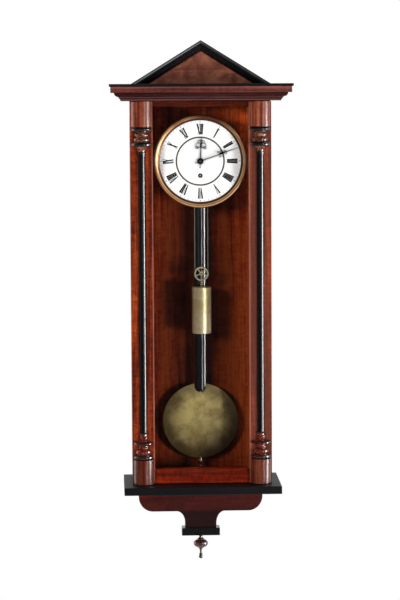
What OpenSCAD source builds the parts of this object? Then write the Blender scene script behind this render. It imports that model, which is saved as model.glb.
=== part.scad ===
// Vienna regulator, one weight, timepiece only, about 1880.
// A glazed case with split columns, a pediment and a shaped base board.
// Origin: the hole of the hanging plate, in the plane of the wall.
// +X is to the right, +Y into the wall, +Z up.

/* [Case] */
// Width of the case and of the door
case_w = 279.4; // [272:1:300]
// Height of the case between the base shelf and the cornice
case_h = 765; // [755:1:800]
// Depth of the case, wall to the front of the side frames
case_d = 95; // [95:1:120]
// Depth of the hanging hole below the top of the case
hanger_drop = 30.5; // [21:0.5:50]
// Thickness of the backboard
back_t = 12; // [10:1:14]
// Thickness of the side frames
side_t = 18; // [16:1:22]
// Width of the side frames' stiles
side_stile_w = 22; // [18:1:24]
// Height of the side frames' rails
side_rail_h = 40; // [30:1:60]
// Width of the rebate that holds a side pane
rebate_w = 5; // [4:1:6]
// Thickness of the side panes
pane_t = 2; // [1.8:0.1:2.6]
// Thickness of the board that closes the case at the bottom
floor_t = 16; // [12:1:18]
// Thickness of the board on top of the case
top_t = 16; // [12:1:22]

/* [Door] */
// Thickness of the door's frame
door_t = 20; // [18:1:24]
// Gap between the door and the case
door_gap = 0.5; // [0.4:0.1:1]
// Gap above and below the door
door_play = 1.2; // [0.8:0.1:2]
// Width of the door's stiles
stile_w = 44.5; // [42:0.5:48]
// Height of the door's bottom rail
bottom_rail_h = 28.5; // [22:0.5:40]
// Height of the door's top rail
top_rail_h = 10; // [10:1:40]
// Thickness of the door's pane
glass_t = 2.5; // [2:0.1:3]
// Thickness of the beads behind the door's pane
bead_t = 5; // [4:0.5:6]
// Length of each hinge
hinge_len = 36; // [24:1:50]
// Distance of each hinge from the door's end
hinge_inset = 110; // [70:1:140]
// Outer radius of a hinge knuckle
knuckle_r = 1.6; // [1.4:0.1:1.8]
// Radius of a hinge pin
hinge_pin_r = 0.75; // [0.6:0.05:0.9]
// Width of a hinge leaf
leaf_w = 12; // [10:1:16]
// Thickness of a hinge leaf
leaf_t = 1; // [0.8:0.1:1.2]

/* [Columns] */
// Radius of the drums at the columns' ends
drum_r = 20.3; // [19:0.1:20.6]
// Height of the upper drum
upper_drum_h = 49.5; // [44:0.5:60]
// Height of the turned capital, with its neck
capital_h = 54; // [53:0.5:64]
// Height of the turned base rings
base_turning_h = 54.5; // [54:0.5:60]
// Height of the lower drum
lower_drum_h = 49; // [40:0.5:60]
// Radius of the ebonised shaft
shaft_r = 6.8; // [6:0.1:8]

/* [Cornice and pediment] */
// Overhang of the cornice's lowest edge beyond the case
ogee_out = 18; // [16:0.5:19.5]
// Overhang of the fascia beyond the case
fascia_out = 38; // [36:0.5:40]
// Overhang of the cap board beyond the case
cap_out = 41; // [41:0.5:44]
// Depth of the step between the moulding below and the fascia
fascia_step = 7; // [5:0.5:9]
// Height of the moulding below the fascia, a hollow and a quarter round
ogee_h = 16.2; // [14:0.2:20]
// Height of the fascia
fascia_h = 12; // [10:0.5:16]
// Thickness of the cap board
cap_t = 5.4; // [4.5:0.1:8]
// Height of the pediment
pediment_h = 84.8; // [75:0.2:95]
// Half of the pediment's width
pediment_half = 137.4; // [128:0.2:148]
// Width of the raking moulding
rake_w = 18; // [14:0.5:22]
// Depth of the raking moulding, front to back
rake_d = 26; // [20:1:34]
// Thickness of the pediment's panel
panel_t = 12; // [8:1:16]

/* [Base] */
// Width of the base shelf
shelf_w = 314; // [304:1:330]
// Depth of the base shelf
shelf_d = 158; // [158:1:175]
// Thickness of the base shelf
shelf_t = 15.5; // [13:0.5:20]
// Half-width of the apron at its top
apron_half = 127; // [118:1:135]
// Height of the apron from the base shelf to the little shelf
apron_h = 92.7; // [92:0.1:104]
// Thickness of the apron board
apron_t = 24; // [18:1:28]
// Width of the little shelf
foot_w = 78; // [68:1:90]
// Depth of the little shelf
foot_d = 30; // [28:1:40]
// Thickness of the little shelf
foot_t = 15.5; // [10:0.5:18]
// Length of the turned drop below the little shelf
drop_h = 51; // [50:0.5:60]
// Radius of the turned drop's knob
drop_r = 15; // [13:0.2:18]

/* [Dial and hands] */
// Depth of the dial's centre below the top of the case
dial_drop = 120.1; // [113:0.1:130]
// Outer diameter of the bezel
bezel_d = 186; // [184:0.5:188]
// Width of the bezel
bezel_w = 11; // [7:0.25:12]
// Width of the enamel ring that carries the numerals
ring_w = 33; // [32:0.25:37]
// Width of the groove round the centre plate
groove_w = 3; // [1.5:0.1:4]
// Thickness of the enamel plates
enamel_t = 1.8; // [1.5:0.1:2.4]
// Distance from the wall to the dial plate's back
dial_back = 82; // [82:0.5:84]
// Thickness of the dial plate
dial_plate_t = 1.5; // [1:0.1:2]
// Length of the minute hand from the centre to its tip
minute_len = 81; // [72:0.5:82]
// Length of the hour hand from the centre to its tip
hour_len = 48; // [42:0.5:56]
// Angle of the minute hand, clockwise from twelve
minute_angle = 70; // [0:1:359]
// Angle of the hour hand, clockwise from twelve
hour_angle = 2.5; // [0:0.5:359.5]
// Thickness of the hands
hand_t = 0.8; // [0.5:0.1:1]

/* [Movement] */
// Width of the movement's plates
plate_w = 96; // [92:1:110]
// Distance from the wall to the back plate's back
plate_back = 44; // [44:0.5:45]
// Thickness of the movement's plates
plate_t = 2.5; // [2:0.1:2.8]
// Space between the movement's plates
plate_gap = 25; // [24.5:0.1:25.2]
// Distance of the winding arbor below the dial's centre
winding_drop = 28.8; // [28:0.1:30]
// Teeth of the great wheel
great_teeth = 112; // [96:2:120]
// Leaves of the centre pinion
centre_leaves = 7; // [7:1:8]
// Teeth of the centre wheel
centre_teeth = 64; // [56:2:72]
// Leaves of the third and escape pinions
train_leaves = 8; // [8:1:9]
// Teeth of the third wheel
third_teeth = 78; // [72:2:80]
// Distance between the centre and third arbors
third_reach = 21.6; // [21:0.1:22.4]
// Distance between the third and escape arbors
escape_reach = 18.7; // [18.2:0.1:19.4]
// Offset of the third arbor to the left
third_x = 9; // [8:0.1:9.6]
// Teeth of the escape wheel
escape_teeth = 30; // [24:2:30]
// Radius of the escape wheel
escape_r = 15.6; // [14:0.1:15.8]
// Distance between the escape and pallet arbors
pallet_reach = 22; // [21:0.1:23.5]
// Teeth of the cannon pinion, a third of the minute wheel's
cannon_teeth = 12; // [12:1:14]
// Leaves of the minute pinion, a quarter of the hour wheel's
minute_leaves = 10; // [10:1:12]
// Distance between the centre and the minute wheel's post
minute_reach = 15; // [14.4:0.1:16]
// Radius of the barrel to the middle of the line
barrel_line_r = 10.75; // [10.2:0.05:11.2]
// Width of the winding square, across its flats
square_w = 3.6; // [3:0.1:4]

/* [Weight and pendulum] */
// Distance from the wall to the weight's axis
weight_y = 60; // [59.8:0.1:61]
// Diameter of the weight
weight_d = 38.8; // [34:0.2:39]
// Height of the weight
weight_h = 94; // [80:1:110]
// Drop of the pulley's axis below the dial's centre
pulley_drop = 227.4; // [150:0.2:260]
// Distance from the pulley's axis to the weight's top
weight_hang = 26; // [26:0.5:34]
// Radius of the pulley to the middle of the line
pulley_line_r = 13.1; // [12.6:0.1:13.6]
// Outer radius of the pulley
pulley_r = 14.2; // [13.9:0.1:14.8]
// Thickness of the pulley's rim
pulley_t = 4; // [3:0.2:5]
// Diameter of the gut line
line_d = 1.2; // [0.9:0.1:1.4]
// Distance from the wall to the pendulum
pendulum_y = 29; // [28.8:0.1:29.4]
// Diameter of the bob
bob_d = 153; // [140:1:160]
// Thickness of the bob
bob_t = 19.5; // [16:0.5:20]
// Height of the bob's centre above the underside of the base shelf
bob_rise = 130; // [128:0.5:140]
// Width of the pendulum rod
rod_w = 23; // [20:0.5:24]
// Thickness of the pendulum rod
rod_t = 10; // [8:0.5:11]
// Height of the rod's rounded end above the bob's centre
rod_end = 61; // [58:0.5:64]

/* [Hidden] */
$fn = 72;

// Clearances
seat = 0.3;      // pieces of two bodies that lie side by side
spring_play = 0.5;
run_fit = 0.05;  // a pivot in its hole
cut = 1;         // how far a cutting solid reaches past a face

// Colours
mahogany = [0.45, 0.17, 0.09];
walnut = [0.36, 0.17, 0.10];
ebonised = [0.07, 0.07, 0.08];
brass = [0.72, 0.58, 0.32];
steel = [0.45, 0.46, 0.48];
blued = [0.08, 0.09, 0.16];
enamel = [0.96, 0.96, 0.94];
glass = [0.80, 0.88, 0.88, 0.30];

// Heights of the case, from the hanging hole
case_top = hanger_drop;
shelf_top = case_top - case_h;
base_z = shelf_top - shelf_t;
fascia_z = case_top + ogee_h;
cap_z = fascia_z + fascia_h;
crest_z = cap_z + cap_t;
foot_z = base_z - apron_h - foot_t;
case_half = case_w / 2;

// Planes from front to back
door_back = -case_d - door_gap;
door_front = door_back - door_t;
cornice_y = door_front - 5;

// Heights of the door and its columns
door_low = shelf_top + door_play;
door_high = case_top - door_play;
open_half = case_half - stile_w;
column_x = case_half - stile_w / 2;
open_low = door_low + bottom_rail_h;
open_high = door_high - top_rail_h;
column_low = door_low + lower_drum_h;
shaft_low = column_low + base_turning_h;
column_high = door_high - upper_drum_h;
shaft_high = column_high - capital_h;
glass_y = door_back - bead_t - seat;

// The hinge axis lies just outside the door's rear corner
hinge_x = case_half + 0.1;
hinge_y = -case_d - door_gap / 2;
hinge_zs = [door_low + hinge_inset, door_high - hinge_inset];
knuckle_len = hinge_len / 3;

// Movement, seen from the front
dial_z = case_top - dial_drop;
enamel_d = bezel_d - 2 * bezel_w;
groove_d = enamel_d - 2 * ring_w;
barrel_z = dial_z - winding_drop;
third_z = dial_z + sqrt(pow(third_reach, 2) - pow(third_x, 2));
escape_z = third_z + sqrt(pow(escape_reach, 2) - pow(third_x, 2));
pallet_z = escape_z + pallet_reach;
plate_low = barrel_z - 34;
plate_high = pallet_z + 8;
back_plate_y = -plate_back;
front_plate_y = back_plate_y - plate_t - plate_gap;
inner_back_y = back_plate_y - plate_t;
front_face_y = front_plate_y - plate_t;
pillar_r = 3.5;
pillar_x = plate_w / 2 - 7;

// Depths of the wheels, measured forward from the back plate's inner face
centre_wheel_y = inner_back_y - 1.5;
third_wheel_y = inner_back_y - 7.5;
escape_wheel_y = inner_back_y - 13.5;
great_wheel_y = front_plate_y + 4;
wheel_t = 1.5;

// Sizes of the teeth
great_m = 2 * winding_drop / (great_teeth + centre_leaves);
centre_m = 2 * third_reach / (centre_teeth + train_leaves);
third_m = 2 * escape_reach / (third_teeth + train_leaves);
cannon_m = 2 * minute_reach / (cannon_teeth * 4);
hour_m = 2 * minute_reach / (minute_leaves * 5);
third_dir = atan2(third_z - dial_z, -third_x);
escape_dir = atan2(escape_z - third_z, third_x);

// Weight, line and pulley
pulley_x = pulley_line_r - barrel_line_r;
post_x = pulley_x + pulley_line_r;
pulley_z = dial_z - pulley_drop;
weight_top = pulley_z - weight_hang;
post_r = 2;
post_z = plate_low + 6;

// Pendulum
bob_z = base_z + bob_rise;
bob_r = bob_d / 2;
rod_low = bob_z + rod_end;
hook_z = pallet_z - 17;
screw_r = 1.6;
bob_rim = 2;
notch_play = 2;  // room above the bob's notch for regulating
nut_r = 5.2;
nut_h = 13;

// Hanging plate
hanger_w = 46;
hanger_t = 2.5;
hanger_hole_r = 4.5;
hanger_screw_at = [for (x = [-17, 17]) for (z = [-17, 17]) [x, z]];

// Side panes, let into the frames from inside
side_pane_x = case_half - side_t + 4;
side_pane_y = [-case_d + side_stile_w - rebate_w, -back_t - side_stile_w + rebate_w];
side_pane_z = [shelf_top + side_rail_h - rebate_w, case_top - side_rail_h + rebate_w];

// Moulding below the fascia
ovolo_r = 8;
ovolo_out = fascia_out - fascia_step - ovolo_r;
hollow_h = ogee_h - ovolo_r - 0.8;

// Pediment
rake_angle = atan2(pediment_h, pediment_half);
rake_lap = 3.6;
panel_half = pediment_half - rake_lap / sin(rake_angle);
pediment_back = door_front + 8;

// Pivots, pipes and the ratchet
stud_r = 1.2;
centre_arbor_r = 1;
centre_pivot_r = 0.9;
back_pivot_r = 2;
front_pivot_r = 2.6;
barrel_arbor_r = 3;
barrel_back = centre_wheel_y - wheel_t - 1;
barrel_len = 15;
barrel_flange_r = 13.4;
flange_t = 1.2;
ratchet_r = 8.4;
ratchet_t = 1.2;
ratchet_teeth = 24;
pallet_play = 1.2;
hour_pipe_r = 3.6;
cannon_pipe_r = 2.4;

// Dial and hands, front to back
enamel_y = -dial_back - dial_plate_t;
winding_hole_r = 4.5;
motion_y = front_face_y - 0.8;
hour_wheel_y = motion_y - 3.4;
hour_hand_y = enamel_y - enamel_t - 1.6;
minute_hand_y = hour_hand_y - 2.4;

pillar_at = [for (x = [-pillar_x, pillar_x]) for (z = [plate_low + 8, plate_high - 8]) [x, z]];
foot_at = [for (x = [-pillar_x + 12, pillar_x - 12]) for (z = [plate_low + 16, plate_high - 16]) [x, z]];
minute_post = [minute_reach, dial_z];

// Every arbor as its place across and up, and the radius of its pivots
pivots = [
    [0, barrel_z, 2], [0, dial_z, centre_pivot_r], [-third_x, third_z, 0.8], [0, escape_z, 0.7],
    [0, pallet_z, 0.8]
];

spring_t = 0.4;
loop_r = 2.6;
loop_rise = 3.4;

// Helpers

// Puts a flat drawing upright: its x and y become x and z, and it grows forward from y
module upright(y) translate([0, y, 0]) rotate([90, 0, 0]) children();

// A cylinder with its axis front to back, growing forward from y
module arbor(x, y, z, r, len) translate([x, y, z]) rotate([90, 0, 0]) cylinder(r = r, h = len);

module twins() {
    children();
    mirror([1, 0, 0]) children();
}

// A box from its low corner to its high corner
module block(low, high) translate(low) cube(high - low);

// Points of an arc, for profiles
function arc(x, y, r, from, to, n = 10) =
    [for (i = [0 : n]) [x + r * cos(from + (to - from) * i / n), y + r * sin(from + (to - from) * i / n)]];

function polar(r, angle) = r * [cos(angle), sin(angle)];

// The front half of a turning that stands on the door's face
module split_turning(x, z, profile)
    translate([x, door_front, z]) rotate([0, 0, 180]) rotate_extrude(angle = 180) polygon(profile);

// One tooth: half-widths at root, pitch line and tip as shares of the pitch
function tooth(at, pitch, rs, ws) = concat(
    [for (i = [0 : len(rs) - 1]) rs[i] * [cos(at - ws[i] * pitch), sin(at - ws[i] * pitch)]],
    [for (i = [len(rs) - 1 : -1 : 0]) rs[i] * [cos(at + ws[i] * pitch), sin(at + ws[i] * pitch)]]
);

module toothed(teeth, m, up, down, ws) {
    r = teeth * m / 2;
    pitch = 360 / teeth;
    polygon([for (i = [0 : teeth - 1])
        each tooth(i * pitch, pitch, [r - down * m, r, r + up * 0.6 * m, r + up * m], ws)]);
}

// A wheel's rim with teeth, crossed out to leave spokes
module crossed_wheel(teeth, m, bore, spokes = 4, rim = 2) {
    r = teeth * m / 2 - 1.3 * m;
    hub = bore + 2;
    difference() {
        toothed(teeth, m, 0.9, 1.3, [0.25, 0.21, 0.15, 0.06]);
        circle(r = bore);
        difference() {
            circle(r = r - rim);
            circle(r = hub);
            for (i = [0 : spokes - 1])
                rotate(i * 360 / spokes + 45) translate([0, -1]) square([r, 2]);
        }
    }
}

module pinion(leaves, m) toothed(leaves, m, 0.7, 1.5, [0.15, 0.13, 0.10, 0.05]);

// Case

module backboard() color(mahogany) difference() {
    block([-case_half, -back_t, shelf_top], [case_half, 0, case_top]);
    block([-hanger_w / 2, -hanger_t, -hanger_w / 2], [hanger_w / 2, cut, hanger_w / 2]);
    arbor(0, -hanger_t + cut, 0, hanger_hole_r + 4, 7 + cut);
    for (p = hanger_screw_at) arbor(p[0], -hanger_t + cut, p[1], 1.5, 7 + cut);
}

module hanger_plate() color(brass) difference() {
    block([-hanger_w / 2, -hanger_t, -hanger_w / 2], [hanger_w / 2, 0, hanger_w / 2]);
    arbor(0, cut, 0, hanger_hole_r, hanger_t + 2 * cut);
    for (p = hanger_screw_at) arbor(p[0], cut, p[1], 1.5 + run_fit, hanger_t + 2 * cut);
}

// Round-headed wood screws through the hanging plate
module hanger_screws() color(steel) for (p = hanger_screw_at) {
    arbor(p[0], 0, p[1], 1.5, 9);
    translate([p[0], 0, p[1]]) rotate([-90, 0, 0]) cylinder(r1 = 3, r2 = 1.8, h = 1.2);
}

module side_frame() {
    difference() {
        union() {
            block([case_half - side_t, -case_d, shelf_top],
                  [case_half, -case_d + side_stile_w, case_top]);
            block([case_half - side_t, -back_t - side_stile_w, shelf_top],
                  [case_half, -back_t, case_top]);
            block([case_half - side_t, -case_d + side_stile_w, shelf_top],
                  [case_half, -back_t - side_stile_w, shelf_top + side_rail_h]);
            block([case_half - side_t, -case_d + side_stile_w, case_top - side_rail_h],
                  [case_half, -back_t - side_stile_w, case_top]);
        }
        block([case_half - side_t - cut, side_pane_y[0] - seat, side_pane_z[0] - seat],
              [side_pane_x + pane_t, side_pane_y[1] + seat, side_pane_z[1] + seat]);
    }
}

module hinge_recess() for (z = hinge_zs) {
    translate([hinge_x, hinge_y, z - hinge_len / 2 - seat])
        cylinder(r = knuckle_r + seat, h = hinge_len + 2 * seat);
    block([hinge_x - leaf_w, hinge_y - leaf_t - door_gap / 2, z - hinge_len / 2 - seat],
          [hinge_x + cut, hinge_y + leaf_t + door_gap / 2, z + hinge_len / 2 + seat]);
}

module side_frame_left() color(mahogany) mirror([1, 0, 0]) side_frame();

module side_frame_right() color(mahogany) difference() {
    side_frame();
    hinge_recess();
}

module side_glass() color(glass) twins()
    block([side_pane_x, side_pane_y[0], side_pane_z[0]],
          [side_pane_x + pane_t, side_pane_y[1], side_pane_z[1]]);

module case_floor() color(mahogany)
    block([-case_half + side_t, -case_d, shelf_top],
          [case_half - side_t, -back_t, shelf_top + floor_t]);

module top_board() color(walnut)
    block([-case_half, cornice_y, case_top], [case_half, 0, case_top + top_t]);

module base_shelf() color(ebonised)
    block([-shelf_w / 2, -shelf_d, base_z], [shelf_w / 2, 0, shelf_top]);

// Section of the cornice, out from the case and up
function cornice_section() = concat(
    [[0, 0], [ogee_out, 0], [ogee_out, hollow_h * 0.16], [ogee_out + 1.3, hollow_h * 0.42],
     [ogee_out + 2.8, hollow_h * 0.7], [ovolo_out - 0.6, hollow_h], [ovolo_out, hollow_h]],
    arc(ovolo_out, ogee_h, ovolo_r, -90, 0, 7),
    [[fascia_out, ogee_h], [fascia_out, ogee_h + fascia_h], [0, ogee_h + fascia_h]]
);

// A length of cornice that runs along +X from a mitre at each end
module cornice_length(half) intersection() {
    rotate([90, 0, 90]) translate([0, 0, -half - cap_out])
        linear_extrude(2 * (half + cap_out)) polygon([for (p = cornice_section()) [p[0], p[1]]]);
    linear_extrude(ogee_h + fascia_h)
        polygon([[-half, 0], [half, 0], [half + cap_out, cap_out], [-half - cap_out, cap_out]]);
}

// One side return, square at the wall and mitred at the front
module cornice_return() translate([case_half, 0, case_top]) intersection() {
    rotate([90, 0, 0]) linear_extrude(-cornice_y + cap_out) polygon(cornice_section());
    linear_extrude(ogee_h + fascia_h)
        polygon([[0, 0], [cap_out, 0], [cap_out, cornice_y - cap_out], [0, cornice_y]]);
}

module cornice_moulding() color(walnut) {
    twins() cornice_return();
    translate([0, cornice_y, case_top]) mirror([0, 1, 0]) cornice_length(case_half);
}

module cornice_cap() color(ebonised)
    block([-case_half - cap_out, cornice_y - cap_out, cap_z], [case_half + cap_out, 0, crest_z]);

// Pediment, standing on the cap near the plane of the door

module pediment_panel() color(walnut) translate([0, 0, crest_z]) upright(pediment_back)
    linear_extrude(panel_t) polygon([[-panel_half, 0], [panel_half, 0], [0, panel_half * tan(rake_angle)]]);

// Section of the raking moulding: forward from the panel's back, and outward.
// It laps over the panel's edge and stands on its face.
function rake_section() = concat(
    [[0, rake_w - rake_lap], [panel_t, rake_w - rake_lap], [panel_t, 0], [panel_t + 3, 0], [panel_t + 4, 1.6]],
    arc(rake_d - 9, 8, 6.4, -90, 0, 6),
    [[rake_d - 2, 8.8], [rake_d, 10], [rake_d, rake_w - 1.4], [rake_d - 1.4, rake_w], [0, rake_w]]
);

module rake() intersection() {
    translate([0, pediment_back, pediment_h]) rotate([0, rake_angle, 0]) translate([-rake_w, 0, -rake_w])
        rotate([90, 0, 90]) linear_extrude(2 * pediment_half) polygon([for (p = rake_section()) [-p[0], p[1]]]);
    block([0, pediment_back - rake_d - cut, 0], [pediment_half + cut, cut, pediment_h + cut]);
}

module pediment_moulding() color(ebonised) translate([0, 0, crest_z]) twins() rake();

// Shaped board below the shelf: a rounded quarter at each end, then a hollow one
apron_points = concat(
    [[-apron_half, 0]],
    [for (p = arc(0, 0, 1, 180, 270, 10)) [p[0] * 29 - apron_half + 29, p[1] * 31 - 27.5]],
    [for (p = arc(0, 0, 1, 90, 5, 9)) [p[0] * 17 - 49, p[1] * 25 - 83.5]],
    [[-32, -apron_h]]
);

module apron() color(mahogany) translate([0, 0, base_z]) upright(0) linear_extrude(apron_t)
    polygon(concat(apron_points, [for (i = [len(apron_points) - 1 : -1 : 0])
        [-apron_points[i][0], apron_points[i][1]]]));

module lower_shelf() color(ebonised)
    block([-foot_w / 2, -foot_d, foot_z], [foot_w / 2, 0, foot_z + foot_t]);

module drop_finial() color(mahogany) translate([0, -foot_d / 2, foot_z]) rotate_extrude()
    polygon(concat(
        [[0, 0], [6, 0], [5.4, -1.6], [3, -4.4], [3.4, -6.4], [6.6, -8.8]],
        [for (p = arc(0, 0, 1, 64, -62, 14)) [p[0] * drop_r, p[1] * 9.4 - 18.8]],
        [[3.6, -30], [2.1, -33], [1.9, -39.5], [3.5, -40.4], [3.5, -42.8], [2.4, -43.8]],
        arc(0, -drop_h + 4.4, 4.4, 50, -90, 9)
    ));

// Door

module door_stile() difference() {
    block([open_half, door_front, door_low], [case_half, door_back, door_high]);
    block([open_half - cut, door_back - bead_t - glass_t - seat, open_low - rebate_w - seat],
          [open_half + rebate_w + seat, door_back + cut, open_high + rebate_w + seat]);
}

module door_stiles() color(mahogany) difference() {
    twins() door_stile();
    hinge_recess();
}

module door_rail(low, high, rebate_low, rebate_high) difference() {
    block([-open_half, door_front, low], [open_half, door_back, high]);
    block([-open_half - cut, door_back - bead_t - glass_t - seat, rebate_low],
          [open_half + cut, door_back + cut, rebate_high]);
}

module door_bottom_rail() color(mahogany)
    door_rail(door_low, open_low, open_low - rebate_w - seat, open_low + cut);

module door_top_rail() color(walnut)
    door_rail(open_high, door_high, open_high - cut, open_high + rebate_w + seat);

module door_glass() color(glass)
    block([-open_half - rebate_w, glass_y - glass_t, open_low - rebate_w],
          [open_half + rebate_w, glass_y, open_high + rebate_w]);

// Four beads that hold the pane against its rebate
module glass_beads() color(mahogany) {
    bead = rebate_w - seat;
    twins() block([open_half, glass_y, open_low - bead], [open_half + bead, door_back, open_high + bead]);
    block([-open_half, glass_y, open_low - bead], [open_half, door_back, open_low]);
    block([-open_half, glass_y, open_high], [open_half, door_back, open_high + bead]);
}

module column_drums() color(walnut) twins() {
    split_turning(column_x, door_low, [[0, 0], [drum_r, 0], [drum_r, lower_drum_h], [0, lower_drum_h]]);
    split_turning(column_x, column_high, [[0, 0], [drum_r, 0], [drum_r, upper_drum_h], [0, upper_drum_h]]);
}

// Small ring, neck, two swellings between two wide rings, from the shaft up to the drum
module column_capitals() color(walnut) twins() split_turning(column_x, shaft_high, concat(
    [[0, 0], [7.7, 0], [7.7, 3.2], [7, 4.2], [7.9, 8], [9.6, 12], [11.5, 15.4]],
    arc(drum_r - 3.6, 19.2, 3.5, -80, 80, 6),
    [[18, 23.4], [15.8, 24.8]],
    arc(11, 28.4, 4.8, -35, 75, 6),
    arc(9, 37.8, 4.8, -60, 60, 6),
    [[10.4, 43.6], [10.4, 44.8]],
    arc(drum_r - 3.9, 48.8, 3.8, -85, 85, 7),
    [[drum_r - 2.4, capital_h - 0.6], [drum_r - 2.4, capital_h], [0, capital_h]]
));

module column_shafts() color(ebonised) twins() split_turning(column_x, shaft_low,
    [[0, 0], [shaft_r, 0], [shaft_r, shaft_high - shaft_low], [0, shaft_high - shaft_low]]);

// Wide ring, torus, small ring, thin wide ring, bead and collar, from the drum up to the shaft
module column_bases() color(walnut) twins() split_turning(column_x, column_low, concat(
    [[0, 0], [drum_r - 2.5, 0]],
    arc(drum_r - 4.4, 4.7, 4.3, -75, 75, 6),
    [[13, 9.6]],
    arc(10.9, 15.4, 5.2, -60, 60, 6),
    [[9.4, 21]],
    arc(8.3, 24.2, 2.8, -65, 65, 5),
    [[9.2, 27.8], [10.6, 30.2]],
    arc(drum_r - 2.7, 33.4, 2.6, -75, 75, 5),
    [[14.6, 36.4], [9.2, 38.6], [7.6, 39.8]],
    arc(4.9, 43.8, 4.1, -55, 55, 6),
    [[7, 48], [7, 51.2], [9.4, 51.6], [9.7, 52.6], [9.2, 53.7]],
    [[shaft_r, base_turning_h], [0, base_turning_h]]
));

// Hinges: the case leaf carries the outer knuckles and the pin, the door leaf the middle one

module case_hinges() color(brass) for (z = hinge_zs) {
    low = z - hinge_len / 2;
    block([hinge_x - leaf_w + seat, hinge_y + door_gap / 2, low],
          [hinge_x - knuckle_r - seat, hinge_y + door_gap / 2 + leaf_t, low + hinge_len]);
    for (end = [low, low + 2 * knuckle_len + seat]) {
        block([hinge_x - knuckle_r - 2 * seat, hinge_y + door_gap / 2, end],
              [hinge_x, hinge_y + door_gap / 2 + leaf_t, end + knuckle_len - seat]);
        translate([hinge_x, hinge_y, end]) cylinder(r = knuckle_r, h = knuckle_len - seat);
    }
    translate([hinge_x, hinge_y, low]) cylinder(r = hinge_pin_r, h = hinge_len);
}

module door_hinges() color(brass) for (z = hinge_zs) {
    low = z - knuckle_len / 2;
    difference() {
        union() {
            block([hinge_x - leaf_w + seat, hinge_y - door_gap / 2 - leaf_t, z - hinge_len / 2],
                  [hinge_x - knuckle_r - seat, hinge_y - door_gap / 2, z + hinge_len / 2]);
            block([hinge_x - knuckle_r - 2 * seat, hinge_y - door_gap / 2 - leaf_t, low],
                  [hinge_x, hinge_y - door_gap / 2, low + knuckle_len]);
            translate([hinge_x, hinge_y, low]) cylinder(r = knuckle_r, h = knuckle_len);
        }
        translate([hinge_x, hinge_y, low - cut])
            cylinder(r = hinge_pin_r + run_fit, h = knuckle_len + 2 * cut);
    }
}

// Dial

module dial_plate() color(brass) upright(-dial_back) translate([0, dial_z]) linear_extrude(dial_plate_t)
    difference() {
        circle(r = bezel_d / 2 - 2);
        circle(r = hour_pipe_r + 1);
        translate([0, -winding_drop]) circle(r = winding_hole_r);
    }

module chapter_ring() color(enamel) upright(enamel_y) translate([0, dial_z]) linear_extrude(enamel_t)
    difference() {
        circle(r = enamel_d / 2 + 1.5);
        circle(r = groove_d / 2);
    }

// The centre plate is sunk into the chapter ring, with a groove round it
module dial_centre() color(enamel) upright(enamel_y) translate([0, dial_z])
    linear_extrude(enamel_t * 0.7) difference() {
        circle(r = groove_d / 2 - groove_w);
        circle(r = hour_pipe_r + 1);
        translate([0, -winding_drop]) circle(r = winding_hole_r);
    }

// Turned bezel, with its section drawn out from the dial's centre and forward
module bezel() color(brass) translate([0, -dial_back, dial_z]) rotate([90, 0, 0]) rotate_extrude($fn = 120)
    polygon(concat(
        [[bezel_d / 2 - 1.8, 0], [bezel_d / 2, 0], [bezel_d / 2, 4]],
        arc(bezel_d / 2 - 3.6, 4.4, 3.4, 0, 100, 8),
        [[enamel_d / 2 + 2.4, 5.2], [enamel_d / 2, dial_plate_t + enamel_t + 0.4],
         [enamel_d / 2, dial_plate_t + enamel_t], [enamel_d / 2 + 1.5 + 0.2, dial_plate_t + enamel_t],
         [enamel_d / 2 + 1.5 + 0.2, dial_plate_t], [bezel_d / 2 - 1.8, dial_plate_t]]
    ));

// Movement frame

// Cast bracket: a flange on the backboard, an arm under the plates and a rib between them
module bracket_arm() {
    flange_y = -back_t - 4;
    block([-6, flange_y, plate_low - 12], [6, -back_t, plate_low + 40]);
    block([-6, front_face_y, plate_low - 7], [6, flange_y, plate_low]);
    rotate([90, 0, 90]) linear_extrude(4, center = true)
        polygon([[flange_y, plate_low], [back_plate_y + 4, plate_low], [flange_y, plate_low + 36]]);
}

module movement_bracket() color(steel) twins() translate([pillar_x - 4, 0, 0]) bracket_arm();

module plate(y, barrel_pivot) upright(y) linear_extrude(plate_t) difference() {
    translate([-plate_w / 2, plate_low]) square([plate_w, plate_high - plate_low]);
    for (i = [0 : len(pivots) - 1]) translate([pivots[i][0], pivots[i][1]])
        circle(r = (i == 0 ? barrel_pivot : pivots[i][2]) + run_fit);
}

module back_plate() color(brass) plate(back_plate_y, back_pivot_r);

// The front plate carries the stud of the minute wheel
module front_plate() color(brass) {
    plate(front_plate_y, front_pivot_r);
    arbor(minute_post[0], front_face_y, minute_post[1], stud_r, 6);
}

module plate_pillars() color(brass) for (p = pillar_at)
    translate([p[0], inner_back_y, p[1]]) rotate([90, 0, 0]) rotate_extrude() polygon([
        [0, 0], [pillar_r, 0], [pillar_r, 2], [pillar_r - 1, 4], [pillar_r - 1, plate_gap - 4],
        [pillar_r, plate_gap - 2], [pillar_r, plate_gap], [0, plate_gap]
    ]);

// Feet between the front plate and the dial plate
module dial_feet() color(brass) for (p = foot_at) arbor(p[0], front_face_y, p[1], 2.5, dial_back + front_face_y);

// The post that holds the fixed end of the line
module line_post() color(steel) arbor(post_x, inner_back_y, post_z, post_r, plate_gap);

// The cock on the backboard that holds the pendulum's spring
module suspension_cock() color(brass) {
    block([-11, -back_t - 3, pallet_z - 4], [11, -back_t, pallet_z + 26]);
    difference() {
        block([-5, -pendulum_y - 4, pallet_z + 3], [5, -back_t - 3, pallet_z + 13]);
        block([-spring_t / 2 - spring_play, -pendulum_y - 5, pallet_z + 2],
              [spring_t / 2 + spring_play, -pendulum_y + 3.5, pallet_z + 9]);
    }
}

// Train. Every wheel rides on its own arbor with its pinion.

module wheel_at(x, z, y, turn) upright(y) translate([x, z]) rotate(turn) linear_extrude(wheel_t) children();

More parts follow.
